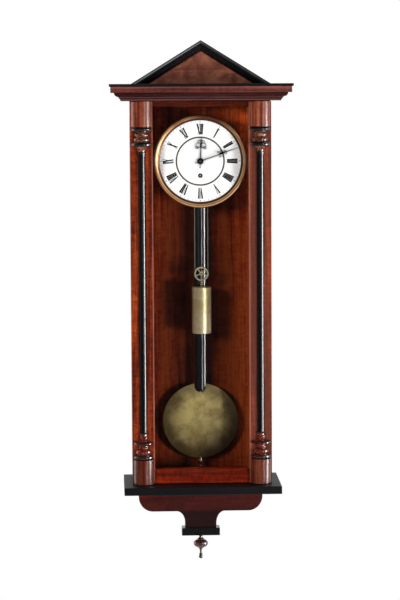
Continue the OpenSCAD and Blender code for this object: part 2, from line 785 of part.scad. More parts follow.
// An arbor between the plates, with thinner pivots through them
module arbor_of(i, r) {
    p = pivots[i];
    arbor(p[0], inner_back_y - seat, p[1], r, plate_gap - 2 * seat);
    arbor(p[0], back_plate_y, p[1], p[2], plate_gap + 2 * plate_t);
}

// Barrel with its flanges, ratchet and winding square
module barrel() color(brass) {
    drum_front = barrel_back - barrel_len;
    groove = barrel_line_r - line_d / 2 - run_fit;
    translate([0, barrel_back, barrel_z]) rotate([90, 0, 0]) rotate_extrude() polygon([
        [0, 0], [barrel_flange_r, 0], [barrel_flange_r, flange_t], [groove, flange_t],
        [groove, barrel_len - flange_t], [barrel_flange_r, barrel_len - flange_t],
        [barrel_flange_r, barrel_len], [0, barrel_len]
    ]);
    upright(drum_front) translate([0, barrel_z]) linear_extrude(ratchet_t)
        polygon([for (i = [0 : ratchet_teeth - 1]) each [
            polar(ratchet_r, i * 360 / ratchet_teeth), polar(ratchet_r - 1.5, (i + 0.08) * 360 / ratchet_teeth)
        ]]);
    arbor(0, back_plate_y, barrel_z, back_pivot_r, back_plate_y - barrel_back);
    arbor(0, drum_front, barrel_z, barrel_arbor_r, drum_front - front_plate_y - seat);
    arbor(0, front_plate_y + cut, barrel_z, front_pivot_r, plate_t + cut);
    upright(front_face_y) translate([0, barrel_z]) linear_extrude(dial_back + front_face_y + dial_plate_t)
        square(square_w, center = true);
}

// The great wheel runs free on the barrel's arbor and carries the click and its spring
module great_wheel() color(brass) {
    wheel_at(0, barrel_z, great_wheel_y, 90)
        crossed_wheel(great_teeth, great_m, barrel_arbor_r + run_fit, 6, 3.4);
    click_y = barrel_back - barrel_len - 0.2;
    upright(click_y) translate([0, barrel_z]) linear_extrude(ratchet_t) {
        translate(polar(19, 15)) circle(r = 2);
        polygon([polar(19, 9), polar(19, 21), polar(ratchet_r + seat + 3.5, 50), polar(ratchet_r + seat, 58),
                 polar(ratchet_r + seat, 50)]);
    }
    p = polar(19, 15);
    arbor(p[0], click_y, barrel_z + p[1], 1.4, click_y - great_wheel_y + wheel_t);
}

// Centre wheel and pinion. Its arbor runs forward inside the cannon pinion to the minute hand.
module centre_wheel() color(brass) {
    wheel_at(0, dial_z, centre_wheel_y, third_dir) crossed_wheel(centre_teeth, centre_m, 1);
    upright(great_wheel_y + 0.8) translate([0, dial_z]) rotate(-90 + 180 / centre_leaves) linear_extrude(3.2)
        pinion(centre_leaves, great_m);
    arbor(0, inner_back_y - seat, dial_z, centre_arbor_r, plate_gap - 2 * seat);
    arbor(0, back_plate_y, dial_z, centre_pivot_r, plate_gap + 2 * plate_t);
    arbor(0, front_plate_y, dial_z, centre_pivot_r, front_plate_y - minute_hand_y + hand_t + 0.6);
}

module third_wheel() color(brass) {
    wheel_at(-third_x, third_z, third_wheel_y, escape_dir) crossed_wheel(third_teeth, third_m, 0.9);
    upright(centre_wheel_y + 0.8) translate([-third_x, third_z]) rotate(third_dir + 180 + 180 / train_leaves)
        linear_extrude(3.2) pinion(train_leaves, centre_m);
    arbor_of(2, 1);
}

// Thirty long raked teeth
module escape_wheel() color(brass) {
    wheel_at(0, escape_z, escape_wheel_y, 0) difference() {
        polygon([for (i = [0 : escape_teeth - 1]) each [
            polar(escape_r, i * 360 / escape_teeth),
            polar(escape_r, (i + 0.07) * 360 / escape_teeth),
            polar(escape_r - 2.6, (i + 0.32) * 360 / escape_teeth),
            polar(escape_r - 2.6, (i + 0.80) * 360 / escape_teeth)
        ]]);
        difference() {
            circle(r = escape_r - 4.2);
            circle(r = 3);
            for (i = [0 : 3]) rotate(i * 90 + 45) translate([0, -0.8]) square([escape_r, 1.6]);
        }
    }
    upright(third_wheel_y + 0.8) translate([0, escape_z]) rotate(escape_dir + 180 + 180 / train_leaves)
        linear_extrude(3.2) pinion(train_leaves, third_m);
    arbor_of(3, 0.9);
}

// Anchor of the dead-beat escapement, its pallets held just outside the wheel
module pallets() color(steel) {
    reach = escape_r + pallet_play;
    at = 54;
    upright(escape_wheel_y) linear_extrude(wheel_t) difference() {
        union() {
            intersection() {
                translate([0, escape_z]) difference() {
                    circle(r = reach + 4);
                    circle(r = reach);
                }
                polygon([[0, escape_z], 60 * [-sin(at), cos(at)] + [0, escape_z], [0, escape_z + 90],
                         60 * [sin(at), cos(at)] + [0, escape_z]]);
            }
            translate([-2.5, escape_z + reach + 1]) square([5, pallet_z - escape_z - reach - 1]);
            translate([0, pallet_z]) circle(r = 3);
        }
        translate([0, pallet_z]) circle(r = 0.6);
    }
    arbor_of(4, 1);
    arbor(0, back_plate_y + 3.4, pallet_z, 0.8, 4);
}

// The crutch hangs behind the back plate and carries a pin into the rod's slot
module crutch() color(steel) {
    crutch_y = back_plate_y + 3.2;
    upright(crutch_y) linear_extrude(1.2) difference() {
        union() {
            translate([-1.5, pallet_z - 62]) square([3, 62]);
            translate([0, pallet_z]) circle(r = 3);
            translate([0, pallet_z - 62]) circle(r = 2.5);
        }
        translate([0, pallet_z]) circle(r = 0.8);
    }
    arbor(0, -pendulum_y, pallet_z - 62, 1, -pendulum_y - crutch_y);
}

// Hands and motion work

module cannon_pinion() color(steel) difference() {
    union() {
        upright(motion_y) translate([0, dial_z]) linear_extrude(3)
            toothed(cannon_teeth, cannon_m, 0.7, 1.3, [0.17, 0.15, 0.11, 0.05]);
        arbor(0, motion_y, dial_z, cannon_pipe_r, motion_y - minute_hand_y);
    }
    arbor(0, motion_y + cut, dial_z, centre_pivot_r + run_fit, motion_y - minute_hand_y + 2 * cut);
}

module minute_wheel() color(brass) difference() {
    union() {
        upright(motion_y - 0.8) translate(minute_post) rotate(180 + 180 / (cannon_teeth * 3)) linear_extrude(1.4)
            toothed(cannon_teeth * 3, cannon_m, 0.7, 1.2, [0.22, 0.19, 0.14, 0.06]);
        upright(motion_y - 2.2) translate(minute_post) rotate(180) linear_extrude(2.6)
            toothed(minute_leaves, hour_m, 0.7, 1.4, [0.16, 0.14, 0.10, 0.05]);
    }
    arbor(minute_post[0], motion_y + cut, minute_post[1], stud_r + run_fit, 8);
}

module hour_wheel() color(brass) difference() {
    pipe_len = hour_wheel_y - hour_hand_y + hand_t;
    union() {
        upright(hour_wheel_y) translate([0, dial_z]) rotate(180 / (minute_leaves * 4)) linear_extrude(1.2)
            toothed(minute_leaves * 4, hour_m, 0.7, 1.2, [0.22, 0.19, 0.14, 0.06]);
        arbor(0, hour_wheel_y, dial_z, hour_pipe_r, pipe_len);
    }
    arbor(0, hour_wheel_y + cut, dial_z, cannon_pipe_r + run_fit, pipe_len + 2 * cut);
}

// A hand lies flat along +X and is turned to its time
module hand(y, angle) upright(y) translate([0, dial_z]) rotate(90 - angle) linear_extrude(hand_t) children();

module ring(x, y, r, w) translate([x, y]) difference() {
    circle(r = r + w / 2, $fn = 32);
    circle(r = r - w / 2, $fn = 32);
}

// Pierced ornament of a serpentine hand: scrolls either side of a lozenge
module scrolls(from, to, half) {
    long = to - from;
    mid = (from + to) / 2;
    for (s = [-1, 1]) {
        ring(mid - long * 0.12, s * half * 0.46, half * 0.44, 1.1);
        ring(mid + long * 0.26, s * half * 0.30, half * 0.28, 1);
        ring(from + long * 0.10, s * half * 0.74, half * 0.22, 1);
    }
    polygon([[from - 1, -0.8], [from - 1, 0.8], [mid - 2, 1.9], [to + 1, 0.8], [to + 1, -0.8], [mid - 2, -1.9]]);
}

// Stem, scrolls, pointed end and a short tail with a ball
module hand_outline(len, boss, from, to, half, tail) {
    circle(r = boss);
    polygon([[0, -1.2], [from, -0.8], [from, 0.8], [0, 1.2]]);
    scrolls(from, to, half);
    polygon([[to - 1, -1], [len, -0.15], [len, 0.15], [to - 1, 1]]);
    polygon([[0, -0.9], [0, 0.9], [-tail, 0.6], [-tail, -0.6]]);
    translate([-tail, 0]) circle(r = 1.2, $fn = 24);
}

module minute_hand() color(blued) hand(minute_hand_y, minute_angle) difference() {
    hand_outline(minute_len, 4.6, 38, 58, 6.4, 10.5);
    circle(r = centre_pivot_r + run_fit);
}

module hour_hand() color(blued) hand(hour_hand_y, hour_angle) difference() {
    hand_outline(hour_len, 6.4, 25, 43, 11, 12.5);
    circle(r = hour_pipe_r);
}

// Line, pulley and weight

module gut_line() color([0.80, 0.72, 0.55]) {
    r = line_d / 2;
    translate([pulley_x - pulley_line_r, -weight_y, pulley_z]) cylinder(r = r, h = barrel_z - pulley_z);
    translate([post_x, -weight_y, pulley_z]) cylinder(r = r, h = post_z - post_r - pulley_z);
    intersection() {
        translate([pulley_x, -weight_y, pulley_z]) rotate([90, 0, 0]) rotate_extrude()
            translate([pulley_line_r, 0]) circle(r = r);
        block([pulley_x - 20, -weight_y - 5, pulley_z - 20], [pulley_x + 20, -weight_y + 5, pulley_z]);
    }
}

module pulley() color(brass) difference() {
    translate([pulley_x, -weight_y + pulley_t / 2, pulley_z]) rotate([90, 0, 0]) rotate_extrude()
        polygon([
            [0, 0], [2.6, 0], [2.6, 1], [pulley_r - 3, 1], [pulley_r - 3, 0], [pulley_r, 0],
            [pulley_line_r - line_d / 2 - 0.1, pulley_t / 2 - 0.75],
            [pulley_line_r - line_d / 2 - 0.1, pulley_t / 2 + 0.75],
            [pulley_r, pulley_t], [pulley_r - 3, pulley_t], [pulley_r - 3, pulley_t - 1],
            [2.6, pulley_t - 1], [2.6, pulley_t], [0, pulley_t]
        ]);
    arbor(pulley_x, 0, pulley_z, 1 + run_fit, weight_y * 2);
    for (i = [0 : 4]) rotate_about(pulley_x, pulley_z, 72 * i + 18)
        upright(0) linear_extrude(weight_y * 2) polygon(concat(
            arc(pulley_x, pulley_z, pulley_r - 2.6, -32, 32, 5), arc(pulley_x, pulley_z, 4, 24, -24, 2)));
}

module rotate_about(x, z, angle) translate([x, 0, z]) rotate([0, -angle, 0]) translate([-x, 0, -z]) children();

// Two cheeks that straddle the pulley, its axle, and the hook below it
module pulley_stirrup() color(steel) {
    cheek_t = 0.9;
    for (y = [-weight_y + pulley_t / 2 + seat + cheek_t, -weight_y - pulley_t / 2 - seat])
        upright(y) linear_extrude(cheek_t) {
            translate([pulley_x, pulley_z]) circle(r = 2.4);
            translate([pulley_x - 1.4, pulley_z - pulley_r - 2.2]) square([2.8, pulley_r + 2.2]);
        }
    block([pulley_x - 1.4, -weight_y - pulley_t / 2 - seat - cheek_t, pulley_z - pulley_r - 3.4],
          [pulley_x + 1.4, -weight_y + pulley_t / 2 + seat + cheek_t, pulley_z - pulley_r - 1.8]);
    arbor(pulley_x, -weight_y + pulley_t / 2 + seat + cheek_t, pulley_z, 1, pulley_t + 2 * seat + 2 * cheek_t);
    translate([pulley_x, -weight_y, pulley_z - pulley_r - 5.6]) rotate([90, 0, 0]) difference() {
        rotate_extrude() translate([2.6, 0]) circle(r = 0.7);
        translate([-5, -0.6, -2]) cube([3.4, 1.8, 4]);
    }
}

module weight() color(brass) translate([pulley_x, -weight_y, weight_top - weight_h]) {
    rotate_extrude() polygon(concat(
        [[0, 0]], arc(weight_d / 2 - 1.2, 1.2, 1.2, -90, 0, 4),
        arc(weight_d / 2 - 1.2, weight_h - 1.2, 1.2, 0, 90, 4),
        [[4.5, weight_h], [3, weight_h + 1.4], [1.2, weight_h + 2.2], [0, weight_h + 2.2]]
    ));
    translate([0, 0, weight_h + loop_rise]) rotate([0, 90, 0]) rotate_extrude() translate([loop_r, 0]) circle(r = 0.7);
}

// Pendulum

module suspension_spring() color(steel) {
    block([-spring_t / 2, -pendulum_y - 3, hook_z + 10], [spring_t / 2, -pendulum_y + 3, pallet_z + 8.6]);
}

module pendulum_hook() color(brass) difference() {
    block([-5, -pendulum_y - 4, hook_z - 12], [5, -pendulum_y + 4, hook_z + 12]);
    block([-spring_t / 2, -pendulum_y - 3, hook_z + 10], [spring_t / 2, -pendulum_y + 3, hook_z + 12 + cut]);
}

// Section of the rod: two arcs that meet in thin edges
module rod_section() {
    r = (pow(rod_w / 2, 2) + pow(rod_t / 2, 2)) / rod_t;
    intersection() {
        translate([0, r - rod_t / 2]) circle(r = r);
        translate([0, rod_t / 2 - r]) circle(r = r);
    }
}

module pendulum_rod() color(ebonised) difference() {
    intersection() {
        translate([0, -pendulum_y, rod_low]) linear_extrude(hook_z - 12 - rod_low) rod_section();
        upright(0) linear_extrude(60) union() {
            translate([0, rod_low + rod_w / 2]) circle(r = rod_w / 2);
            translate([-rod_w / 2, rod_low + rod_w / 2]) square([rod_w, 1000]);
        }
    }
    block([-1.3, -60, pallet_z - 66], [1.3, 0, pallet_z - 56]);
    translate([0, -pendulum_y, rod_low - cut]) cylinder(r = screw_r, h = 18 + cut);
}

module rating_screw() color(steel)
    translate([0, -pendulum_y, bob_z - bob_r - nut_h - 4]) cylinder(r = screw_r, h = bob_r + nut_h + 4 + rod_end + 18);

// Two domed shells that meet in a narrow rim
module pendulum_bob() color(brass) {
    dome = (bob_t - bob_rim) / 2;
    r = (pow(bob_r, 2) + pow(dome, 2)) / (2 * dome);
    half = asin(bob_r / r);
    difference() {
        translate([0, -pendulum_y, bob_z]) rotate([90, 0, 0]) rotate_extrude($fn = 120)
            polygon(concat(
                arc(0, bob_rim / 2 + dome - r, r, 90 - half, 90, 10),
                arc(0, r - dome - bob_rim / 2, r, -90, half - 90, 10)
            ));
        translate([0, -pendulum_y, bob_z - bob_r - cut]) cylinder(r = screw_r + run_fit, h = bob_d + 2 * cut);
        upright(0) linear_extrude(80) {
            translate([0, rod_low + rod_w / 2 - notch_play]) circle(r = rod_w / 2 + seat);
            translate([-rod_w / 2 - seat, rod_low + rod_w / 2 - notch_play]) square([rod_w + 2 * seat, 60]);
        }
    }
}

module rating_nut() color(brass) translate([0, -pendulum_y, bob_z - bob_r - seat]) difference() {
    rotate_extrude() polygon([
        [0, 0], [2.6, 0], [nut_r - 0.6, -5], [2.8, -6.4], [nut_r, -8], [nut_r, -11], [3, -nut_h], [0, -nut_h]
    ]);
    translate([0, 0, -nut_h - cut]) cylinder(r = screw_r + run_fit, h = nut_h + 2 * cut);
}

backboard();
side_frame_left();
side_frame_right();
side_glass();
case_floor();
top_board();
base_shelf();
cornice_moulding();
cornice_cap();
pediment_panel();
pediment_moulding();
apron();
lower_shelf();
drop_finial();
hanger_plate();
hanger_screws();
movement_bracket();
back_plate();
front_plate();
plate_pillars();
dial_feet();
dial_plate();
chapter_ring();
dial_centre();
bezel();
suspension_cock();
gut_line();
line_post();
case_hinges();
door_stiles();
door_top_rail();
door_bottom_rail();
door_glass();
glass_beads();
column_drums();
column_capitals();
column_shafts();
column_bases();
door_hinges();
suspension_spring();
pendulum_hook();
pendulum_rod();
rating_screw();
pendulum_bob();
rating_nut();
pallets();
crutch();
cannon_pinion();
minute_hand();
minute_wheel();
hour_wheel();
hour_hand();
barrel();
great_wheel();
centre_wheel();
third_wheel();
escape_wheel();
pulley_stirrup();
pulley();
weight();
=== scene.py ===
import math

import bpy
from mathutils import Matrix, Vector


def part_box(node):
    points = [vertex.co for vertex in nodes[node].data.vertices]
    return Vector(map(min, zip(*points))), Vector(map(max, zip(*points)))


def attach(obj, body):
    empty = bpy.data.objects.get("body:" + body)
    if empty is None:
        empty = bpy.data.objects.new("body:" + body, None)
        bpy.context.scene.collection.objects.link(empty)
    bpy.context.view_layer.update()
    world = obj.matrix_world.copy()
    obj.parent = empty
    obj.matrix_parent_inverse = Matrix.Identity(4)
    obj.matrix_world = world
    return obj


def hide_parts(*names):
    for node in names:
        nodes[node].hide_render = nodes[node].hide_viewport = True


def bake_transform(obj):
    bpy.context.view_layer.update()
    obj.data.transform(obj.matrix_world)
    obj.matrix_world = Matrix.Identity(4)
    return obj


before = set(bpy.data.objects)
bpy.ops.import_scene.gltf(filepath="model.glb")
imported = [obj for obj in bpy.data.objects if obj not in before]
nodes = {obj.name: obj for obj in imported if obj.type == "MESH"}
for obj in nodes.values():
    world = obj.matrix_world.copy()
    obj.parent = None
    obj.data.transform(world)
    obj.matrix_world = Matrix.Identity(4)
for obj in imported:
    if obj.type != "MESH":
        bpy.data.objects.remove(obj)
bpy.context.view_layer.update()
print("frame loaded,", len(nodes), "nodes")


def tint(red, green, blue):
    # a colour as a paint program shows it, turned into light values
    values = []
    for part in (red, green, blue):
        share = part / 255
        values.append(share / 12.92 if share <= 0.04045 else ((share + 0.055) / 1.055) ** 2.4)
    return (*values, 1)


class Wire:
    # one output socket, so that shader sums read as plain sums
    def __init__(self, finish, socket):
        self.finish = finish
        self.socket = socket

    def reckon(self, operation, first, second):
        return self.finish.node("ShaderNodeMath", {"operation": operation}, {0: first, 1: second})

    def __add__(self, other):
        return self.reckon("ADD", self, other)

    def __radd__(self, other):
        return self.reckon("ADD", other, self)

    def __sub__(self, other):
        return self.reckon("SUBTRACT", self, other)

    def __rsub__(self, other):
        return self.reckon("SUBTRACT", other, self)

    def __mul__(self, other):
        return self.reckon("MULTIPLY", self, other)

    def __rmul__(self, other):
        return self.reckon("MULTIPLY", other, self)


class Finish:
    # a material, or the world, that is being put together
    def __init__(self, name, owner=None):
        self.material = owner or bpy.data.materials.new(name)
        self.material.use_nodes = True
        self.tree = self.material.node_tree
        self.tree.nodes.clear()
        self.place = self.node("ShaderNodeTexCoord", {}, {}, "Object")

    def node(self, kind, settings, values, wanted=0):
        made = self.tree.nodes.new(kind)
        for key, value in settings.items():
            if key == "stops":
                ramp = made.color_ramp
                while len(ramp.elements) < len(value):
                    ramp.elements.new(0.5)
                for element, (position, colour) in zip(ramp.elements, value):
                    element.position = position
                    element.color = colour
            else:
                setattr(made, key, value)
        for key, value in values.items():
            if isinstance(value, Wire):
                self.tree.links.new(value.socket, made.inputs[key])
            else:
                made.inputs[key].default_value = value
        return Wire(self, made.outputs[wanted]) if made.outputs else made

    def mix(self, first, second, share):
        settings = {"data_type": "RGBA", "clamp_factor": True}
        return self.node("ShaderNodeMix", settings, {0: share, 6: first, 7: second}, 2)

    def stretch(self, factors, vector=None):
        values = {0: vector or self.place, 1: factors}
        return self.node("ShaderNodeVectorMath", {"operation": "MULTIPLY"}, values)

    def shift(self, offset, vector=None):
        values = {0: vector or self.place, 1: offset}
        return self.node("ShaderNodeVectorMath", {"operation": "ADD"}, values)

    def noise(self, vector, scale, detail=3.0, rough=0.5, distort=0.0):
        values = {"Vector": vector, "Scale": scale, "Detail": detail, "Roughness": rough,
                  "Distortion": distort}
        return self.node("ShaderNodeTexNoise", {}, values)

    def cells(self, vector, scale):
        return self.node("ShaderNodeTexVoronoi", {}, {"Vector": vector, "Scale": scale}, "Distance")

    def ramp(self, value, stops):
        return self.node("ShaderNodeValToRGB", {"stops": stops}, {0: value})

    def rise(self, value, low, high):
        # 0 below low, 1 above high, smooth between
        settings = {"interpolation_type": "SMOOTHSTEP"}
        return self.node("ShaderNodeMapRange", settings, {0: value, 1: low, 2: high, 3: 0.0, 4: 1.0})

    def axis(self, index, vector=None):
        return self.node("ShaderNodeSeparateXYZ", {}, {0: vector or self.place}, index)

    def band(self, value, low, high, edge):
        return self.rise(value, low - edge, low) * (1 - self.rise(value, high, high + edge))

    def spread(self, way, start, end, share, ripple=None):
        # grows along a direction, from nothing at start to its share at end; a ripple moves its front
        values = {0: self.place, 1: way}
        along = self.node("ShaderNodeVectorMath", {"operation": "DOT_PRODUCT"}, values, "Value")
        if ripple:
            along = along + ripple
        return self.rise(along, start, end) * share

    def reach(self, centre, flat=(1, 0, 1)):
        # distance from an axis through centre
        away = self.stretch(flat, self.shift(tuple(-part for part in centre)))
        return self.node("ShaderNodeVectorMath", {"operation": "LENGTH"}, {0: away}, "Value")

    def bump(self, height, depth, strength):
        return self.node("ShaderNodeBump", {}, {"Strength": strength, "Distance": depth, "Height": height})

    def surface(self, values):
        shader = self.node("ShaderNodeBsdfPrincipled", {}, values)
        self.node("ShaderNodeOutputMaterial", {}, {"Surface": shader})
        return self.material


def polish(look):
    # the shine of a surface and the varnish on it
    return {
        "Specular IOR Level": look["shine"],
        "Coat Weight": look["coat"],
        "Coat Roughness": look["coatRough"],
    }


# wood

woodBase = {
    "grain": "z",  # direction of the grain
    "deep": (30, 9, 6),
    "dark": (66, 22, 12),
    "mid": (116, 44, 20),
    "light": (168, 78, 34),
    "streak": 330.0,  # fineness of the streaks across the grain
    "streakShare": 0.36,  # of what patches and waves leave, the bands have the rest
    "length": 0.035,  # how much slower streaks and bands change along the grain
    "bands": 52.0,
    "patches": 10.0,
    "patchShare": 0.16,
    "patchLength": 0.22,
    "curl": 0.16,  # share of the waves that cross the grain
    "curlScale": 95.0,
    "curlLength": 0.5,  # how much slower the waves change across the grain
    "pores": 1900.0,
    "poreShare": 0.5,
    "burl": 0.0,  # share of burl figure
    "burlScale": 70.0,
    "contrast": 2.6,
    "lift": 0.0,  # towards the light colours
    "smear": 18.0,  # scale of the marks that a polishing cloth leaves
    "rough": 0.36,
    "roughSwing": 0.14,
    "coat": 0.45,
    "coatRough": 0.12,
    "shine": 0.35,
    "relief": 0.00005,
    "darker": (),  # ways the wood darkens: direction, start, end, share
    "sheen": (),  # the same in the pale tint: a painted sheen on the polish
    "edges": (),  # bands of the painted-light tint: axis, how far off they start and end, softness, share
    "edgeTint": (184, 122, 104),  # painted highlight along edges, painted shade in the backboard's middle
    "edgeDepth": 1.0,  # how far back, along y, the bands still show
    "edgeFade": 0.001,
    "seed": 0.0,
}


def woodColours(finish, value, look, places):
    tones = [tint(*look[key]) for key in ("deep", "dark", "mid", "light")]
    return finish.ramp(value, list(zip(places, tones)))


def wood(name, **changes):
    look = {**woodBase, **changes}
    finish = Finish(name)
    slow = look["length"]
    along = (slow, 1, 1) if look["grain"] == "x" else (1, 1, slow)
    halfSlow = tuple(1 if part == 1 else look["patchLength"] for part in along)
    across = tuple(look["curlLength"] if part == 1 else 1 for part in along)
    place = finish.shift((look["seed"], look["seed"] * 0.7, look["seed"] * 1.3))
    streaks = finish.noise(finish.stretch(along, place), look["streak"], rough=0.6, distort=0.3)
    bands = finish.noise(finish.stretch(along, place), look["bands"], rough=0.6, distort=0.9)
    patches = finish.noise(finish.stretch(halfSlow, place), look["patches"], rough=0.55, distort=0.6)
    curls = finish.noise(finish.stretch(across, place), look["curlScale"], detail=2.0, distort=1.5)
    pores = finish.noise(finish.stretch(along, place), look["pores"], detail=1.0)
    plain = 1 - look["patchShare"] - look["curl"]
    value = streaks * (plain * look["streakShare"]) + bands * (plain * (1 - look["streakShare"]))
    value = value + patches * look["patchShare"] + curls * look["curl"]
    if look["burl"]:
        warp = finish.noise(place, look["burlScale"] * 0.5, detail=4.0, rough=0.65, distort=2.5)
        knots = finish.cells(finish.shift((0.01, 0.02, 0.0), place), look["burlScale"] * 1.4)
        figure = warp * 0.75 + knots * 0.4
        value = value * (1 - look["burl"]) + figure * look["burl"]
    value = (value - 0.5) * look["contrast"] + (0.5 + look["lift"])
    colour = woodColours(finish, value, look, (0.12, 0.38, 0.60, 0.86))
    colour = finish.mix(colour, tint(*look["deep"]), finish.rise(pores, 0.58, 0.70) * look["poreShare"])
    for growth in look["darker"]:
        colour = finish.mix(colour, tint(*look["deep"]), finish.spread(*growth))
    # painted sheen: a paler, hazy reflection
    for growth in look["sheen"]:
        colour = finish.mix(colour, tint(*look["edgeTint"]), finish.spread(*growth))
    smear = finish.noise(place, look["smear"], detail=2.0)
    # painted highlights along edges, painted shade down the backboard's middle
    if look["edges"]:
        ahead = 1 - finish.rise(finish.axis(1), look["edgeDepth"], look["edgeDepth"] + look["edgeFade"])
        patchy = 0.4 + smear * 1.2
    for axis, low, high, soft, share in look["edges"]:
        paintedBand = finish.band(finish.reach((0, 0, 0), axis), low, high, soft) * ahead * share
        colour = finish.mix(colour, tint(*look["edgeTint"]), paintedBand * patchy)
    return finish.surface({
        **polish(look),
        "Base Color": colour,
        "Roughness": look["rough"] + (smear - 0.5) * look["roughSwing"],
        "Normal": finish.bump(streaks * 0.5 + pores * 0.5, look["relief"], 0.5),
    })


endBase = {
    **woodBase,
    "ring": (16, 12, 12),
    "ringShare": 1.0,
    "ringSoft": 0.0006,  # how far a ring's edge blurs
    "roughSwing": 0.1,
    "relief": 0.00003,
}


def turnedEnds(name, bands, **changes):
    # the columns' turned ends: dark rings between figured wood, told apart by height
    look = {**endBase, **changes}
    finish = Finish(name)
    warp = finish.noise(finish.place, look["burlScale"], detail=4.0, rough=0.6, distort=3.0)
    specks = finish.cells(finish.place, look["burlScale"] * 2.2)
    value = warp * 1.5 + specks * 0.5 - 0.42
    colour = woodColours(finish, value, look, (0.16, 0.38, 0.58, 0.82))
    height = finish.axis(2)
    rings = [finish.band(height, low, high, look["ringSoft"]) for low, high in bands]
    return finish.surface({
        **polish(look),
        "Base Color": finish.mix(colour, tint(*look["ring"]), sum(rings[1:], rings[0]) * look["ringShare"]),
        "Roughness": look["rough"] + (warp - 0.5) * look["roughSwing"],
        "Normal": finish.bump(warp, look["relief"], 0.4),
    })


ebonyBase = {
    "base": (12, 11, 14),
    "worn": (46, 28, 20),
    "wear": 0.35,
    "clouds": 40.0,
    "brushing": 420.0,
    "rough": 0.26,
    "roughSwing": 0.16,
    "coat": 0.45,
    "coatRough": 0.08,
    "shine": 0.35,
    "relief": 0.000001,
    "slope": None,  # a raking moulding's angle, and how high the middle of its painted highlight is at the crest
    "rakeHighlightTint": (126, 128, 133),
    "rakeHighlightReach": (0.0007, 0.0006),  # of the painted highlight, under and over its middle
    "rakeHighlightSoft": 0.0011,
    "rakeHighlightLoss": 0.75,  # how much weaker the painted highlight is on the right rake
}


def ebonised(name, **changes):
    look = {**ebonyBase, **changes}
    finish = Finish(name)
    cloud = finish.noise(finish.place, look["clouds"], detail=4.0, rough=0.6)
    brushed = finish.noise(finish.stretch((1, 1, 0.06)), look["brushing"])
    rubbed = finish.rise(cloud * 0.7 + brushed * 0.3, 0.54, 0.76) * look["wear"]
    colour = finish.mix(tint(*look["base"]), tint(*look["worn"]), rubbed)
    # painted highlight: a pale band along the raking moulding, weaker on the right rake
    if look["slope"]:
        angle, crest = look["slope"]
        level = finish.reach((0, 0, 0), (1, 0, 0)) * math.sin(angle) + finish.axis(2) * math.cos(angle)
        middle = crest * math.cos(angle)
        under, over = look["rakeHighlightReach"]
        edge = finish.band(level, middle - under, middle + over, look["rakeHighlightSoft"])
        edge = edge * (1 - finish.rise(finish.axis(0), -0.01, 0.01) * look["rakeHighlightLoss"])
        colour = finish.mix(colour, tint(*look["rakeHighlightTint"]), edge * (0.55 + cloud * 0.5))
    return finish.surface({
        **polish(look),
        "Base Color": colour,
        "Roughness": look["rough"] + (cloud - 0.5) * look["roughSwing"],
        "Normal": finish.bump(brushed, look["relief"], 0.1),
    })


# metal, enamel, glass, gut and ink

metalBase = {
    "bright": (214, 184, 120),
    "dull": (168, 140, 84),
    "spot": (70, 54, 32),
    "cloudScale": 30.0,
    "spots": 0.15,
    "rough": (0.26, 0.42),
    "drawn": None,  # direction of the brushing
    "brushing": 110.0,
    "scratches": 1100.0,
    "streaks": 0.0,  # how much the brushing colours the surface
    "clouds": (0.40, 0.66),
    "relief": 0.00001,
    "tarnish": (),  # painted shade, by the directions it grows in: way, start, end, share
    "ripple": 0.06,  # how far the clouds move the painted shade's front
    "centre": None,  # of the rings below
    "rings": (),  # the spot colour between two radii: low, high, edge, share
    "wander": 0.0,  # how far the rings stray with the clouds
    "metallic": 1.0,
}


def metal(name, **changes):
    look = {**metalBase, **changes}
    finish = Finish(name)
    drawn = {"x": (0.03, 1, 1), "z": (1, 1, 0.03), None: (1, 1, 1)}[look["drawn"]]
    cloud = finish.noise(finish.place, look["cloudScale"], detail=4.0, rough=0.6, distort=0.4)
    fine = finish.noise(finish.place, look["cloudScale"] * 7, rough=0.6)
    brushed = finish.noise(finish.stretch(drawn), look["brushing"], detail=4.0, rough=0.65)
    scratches = finish.noise(finish.stretch(drawn), look["scratches"], detail=2.0)
    dulled = finish.rise(cloud * 0.75 + fine * 0.25, *look["clouds"])
    dulled = dulled * (1 - look["streaks"]) + finish.rise(brushed, 0.36, 0.62) * look["streaks"]
    specks = finish.noise(finish.place, look["cloudScale"] * 3.1, detail=2.0)
    spotted = finish.rise(specks, 0.62, 0.76) * look["spots"]
    colour = finish.mix(tint(*look["bright"]), tint(*look["dull"]), dulled)
    # painted shade, grown along directions
    for growth in look["tarnish"]:
        ripple = (cloud - 0.5) * look["ripple"]
        colour = finish.mix(colour, tint(*look["spot"]), finish.spread(*growth, ripple))
    radius = finish.reach(look["centre"]) + (cloud - 0.5) * look["wander"] if look["rings"] else None
    # rings: painted shade on the bezel, bob and barrel, patina in the bezel's groove, a painted highlight on
    # the minute hand's boss, and the centre arbor's own dark steel
    for low, high, edge, share in look["rings"]:
        colour = finish.mix(colour, tint(*look["spot"]), finish.band(radius, low, high, edge) * share)
    low, high = look["rough"]
    return finish.surface({
        "Base Color": finish.mix(colour, tint(*look["spot"]), spotted),
        "Metallic": look["metallic"],
        "Roughness": low + dulled * (high - low) + (scratches - 0.5) * 0.08,
        "Normal": finish.bump(scratches * 0.5 + brushed * 0.5, look["relief"], 0.3),
    })


enamelLook = {
    "white": (253, 253, 252),
    "shade": (247, 248, 246),
    "speck": (214, 214, 210),
    "clouds": 30.0,
    "specks": 420.0,
    "speckShare": 0.25,
    "rough": 0.20,
    "coat": 0.3,
    "coatRough": 0.06,
    "shine": 0.4,
}


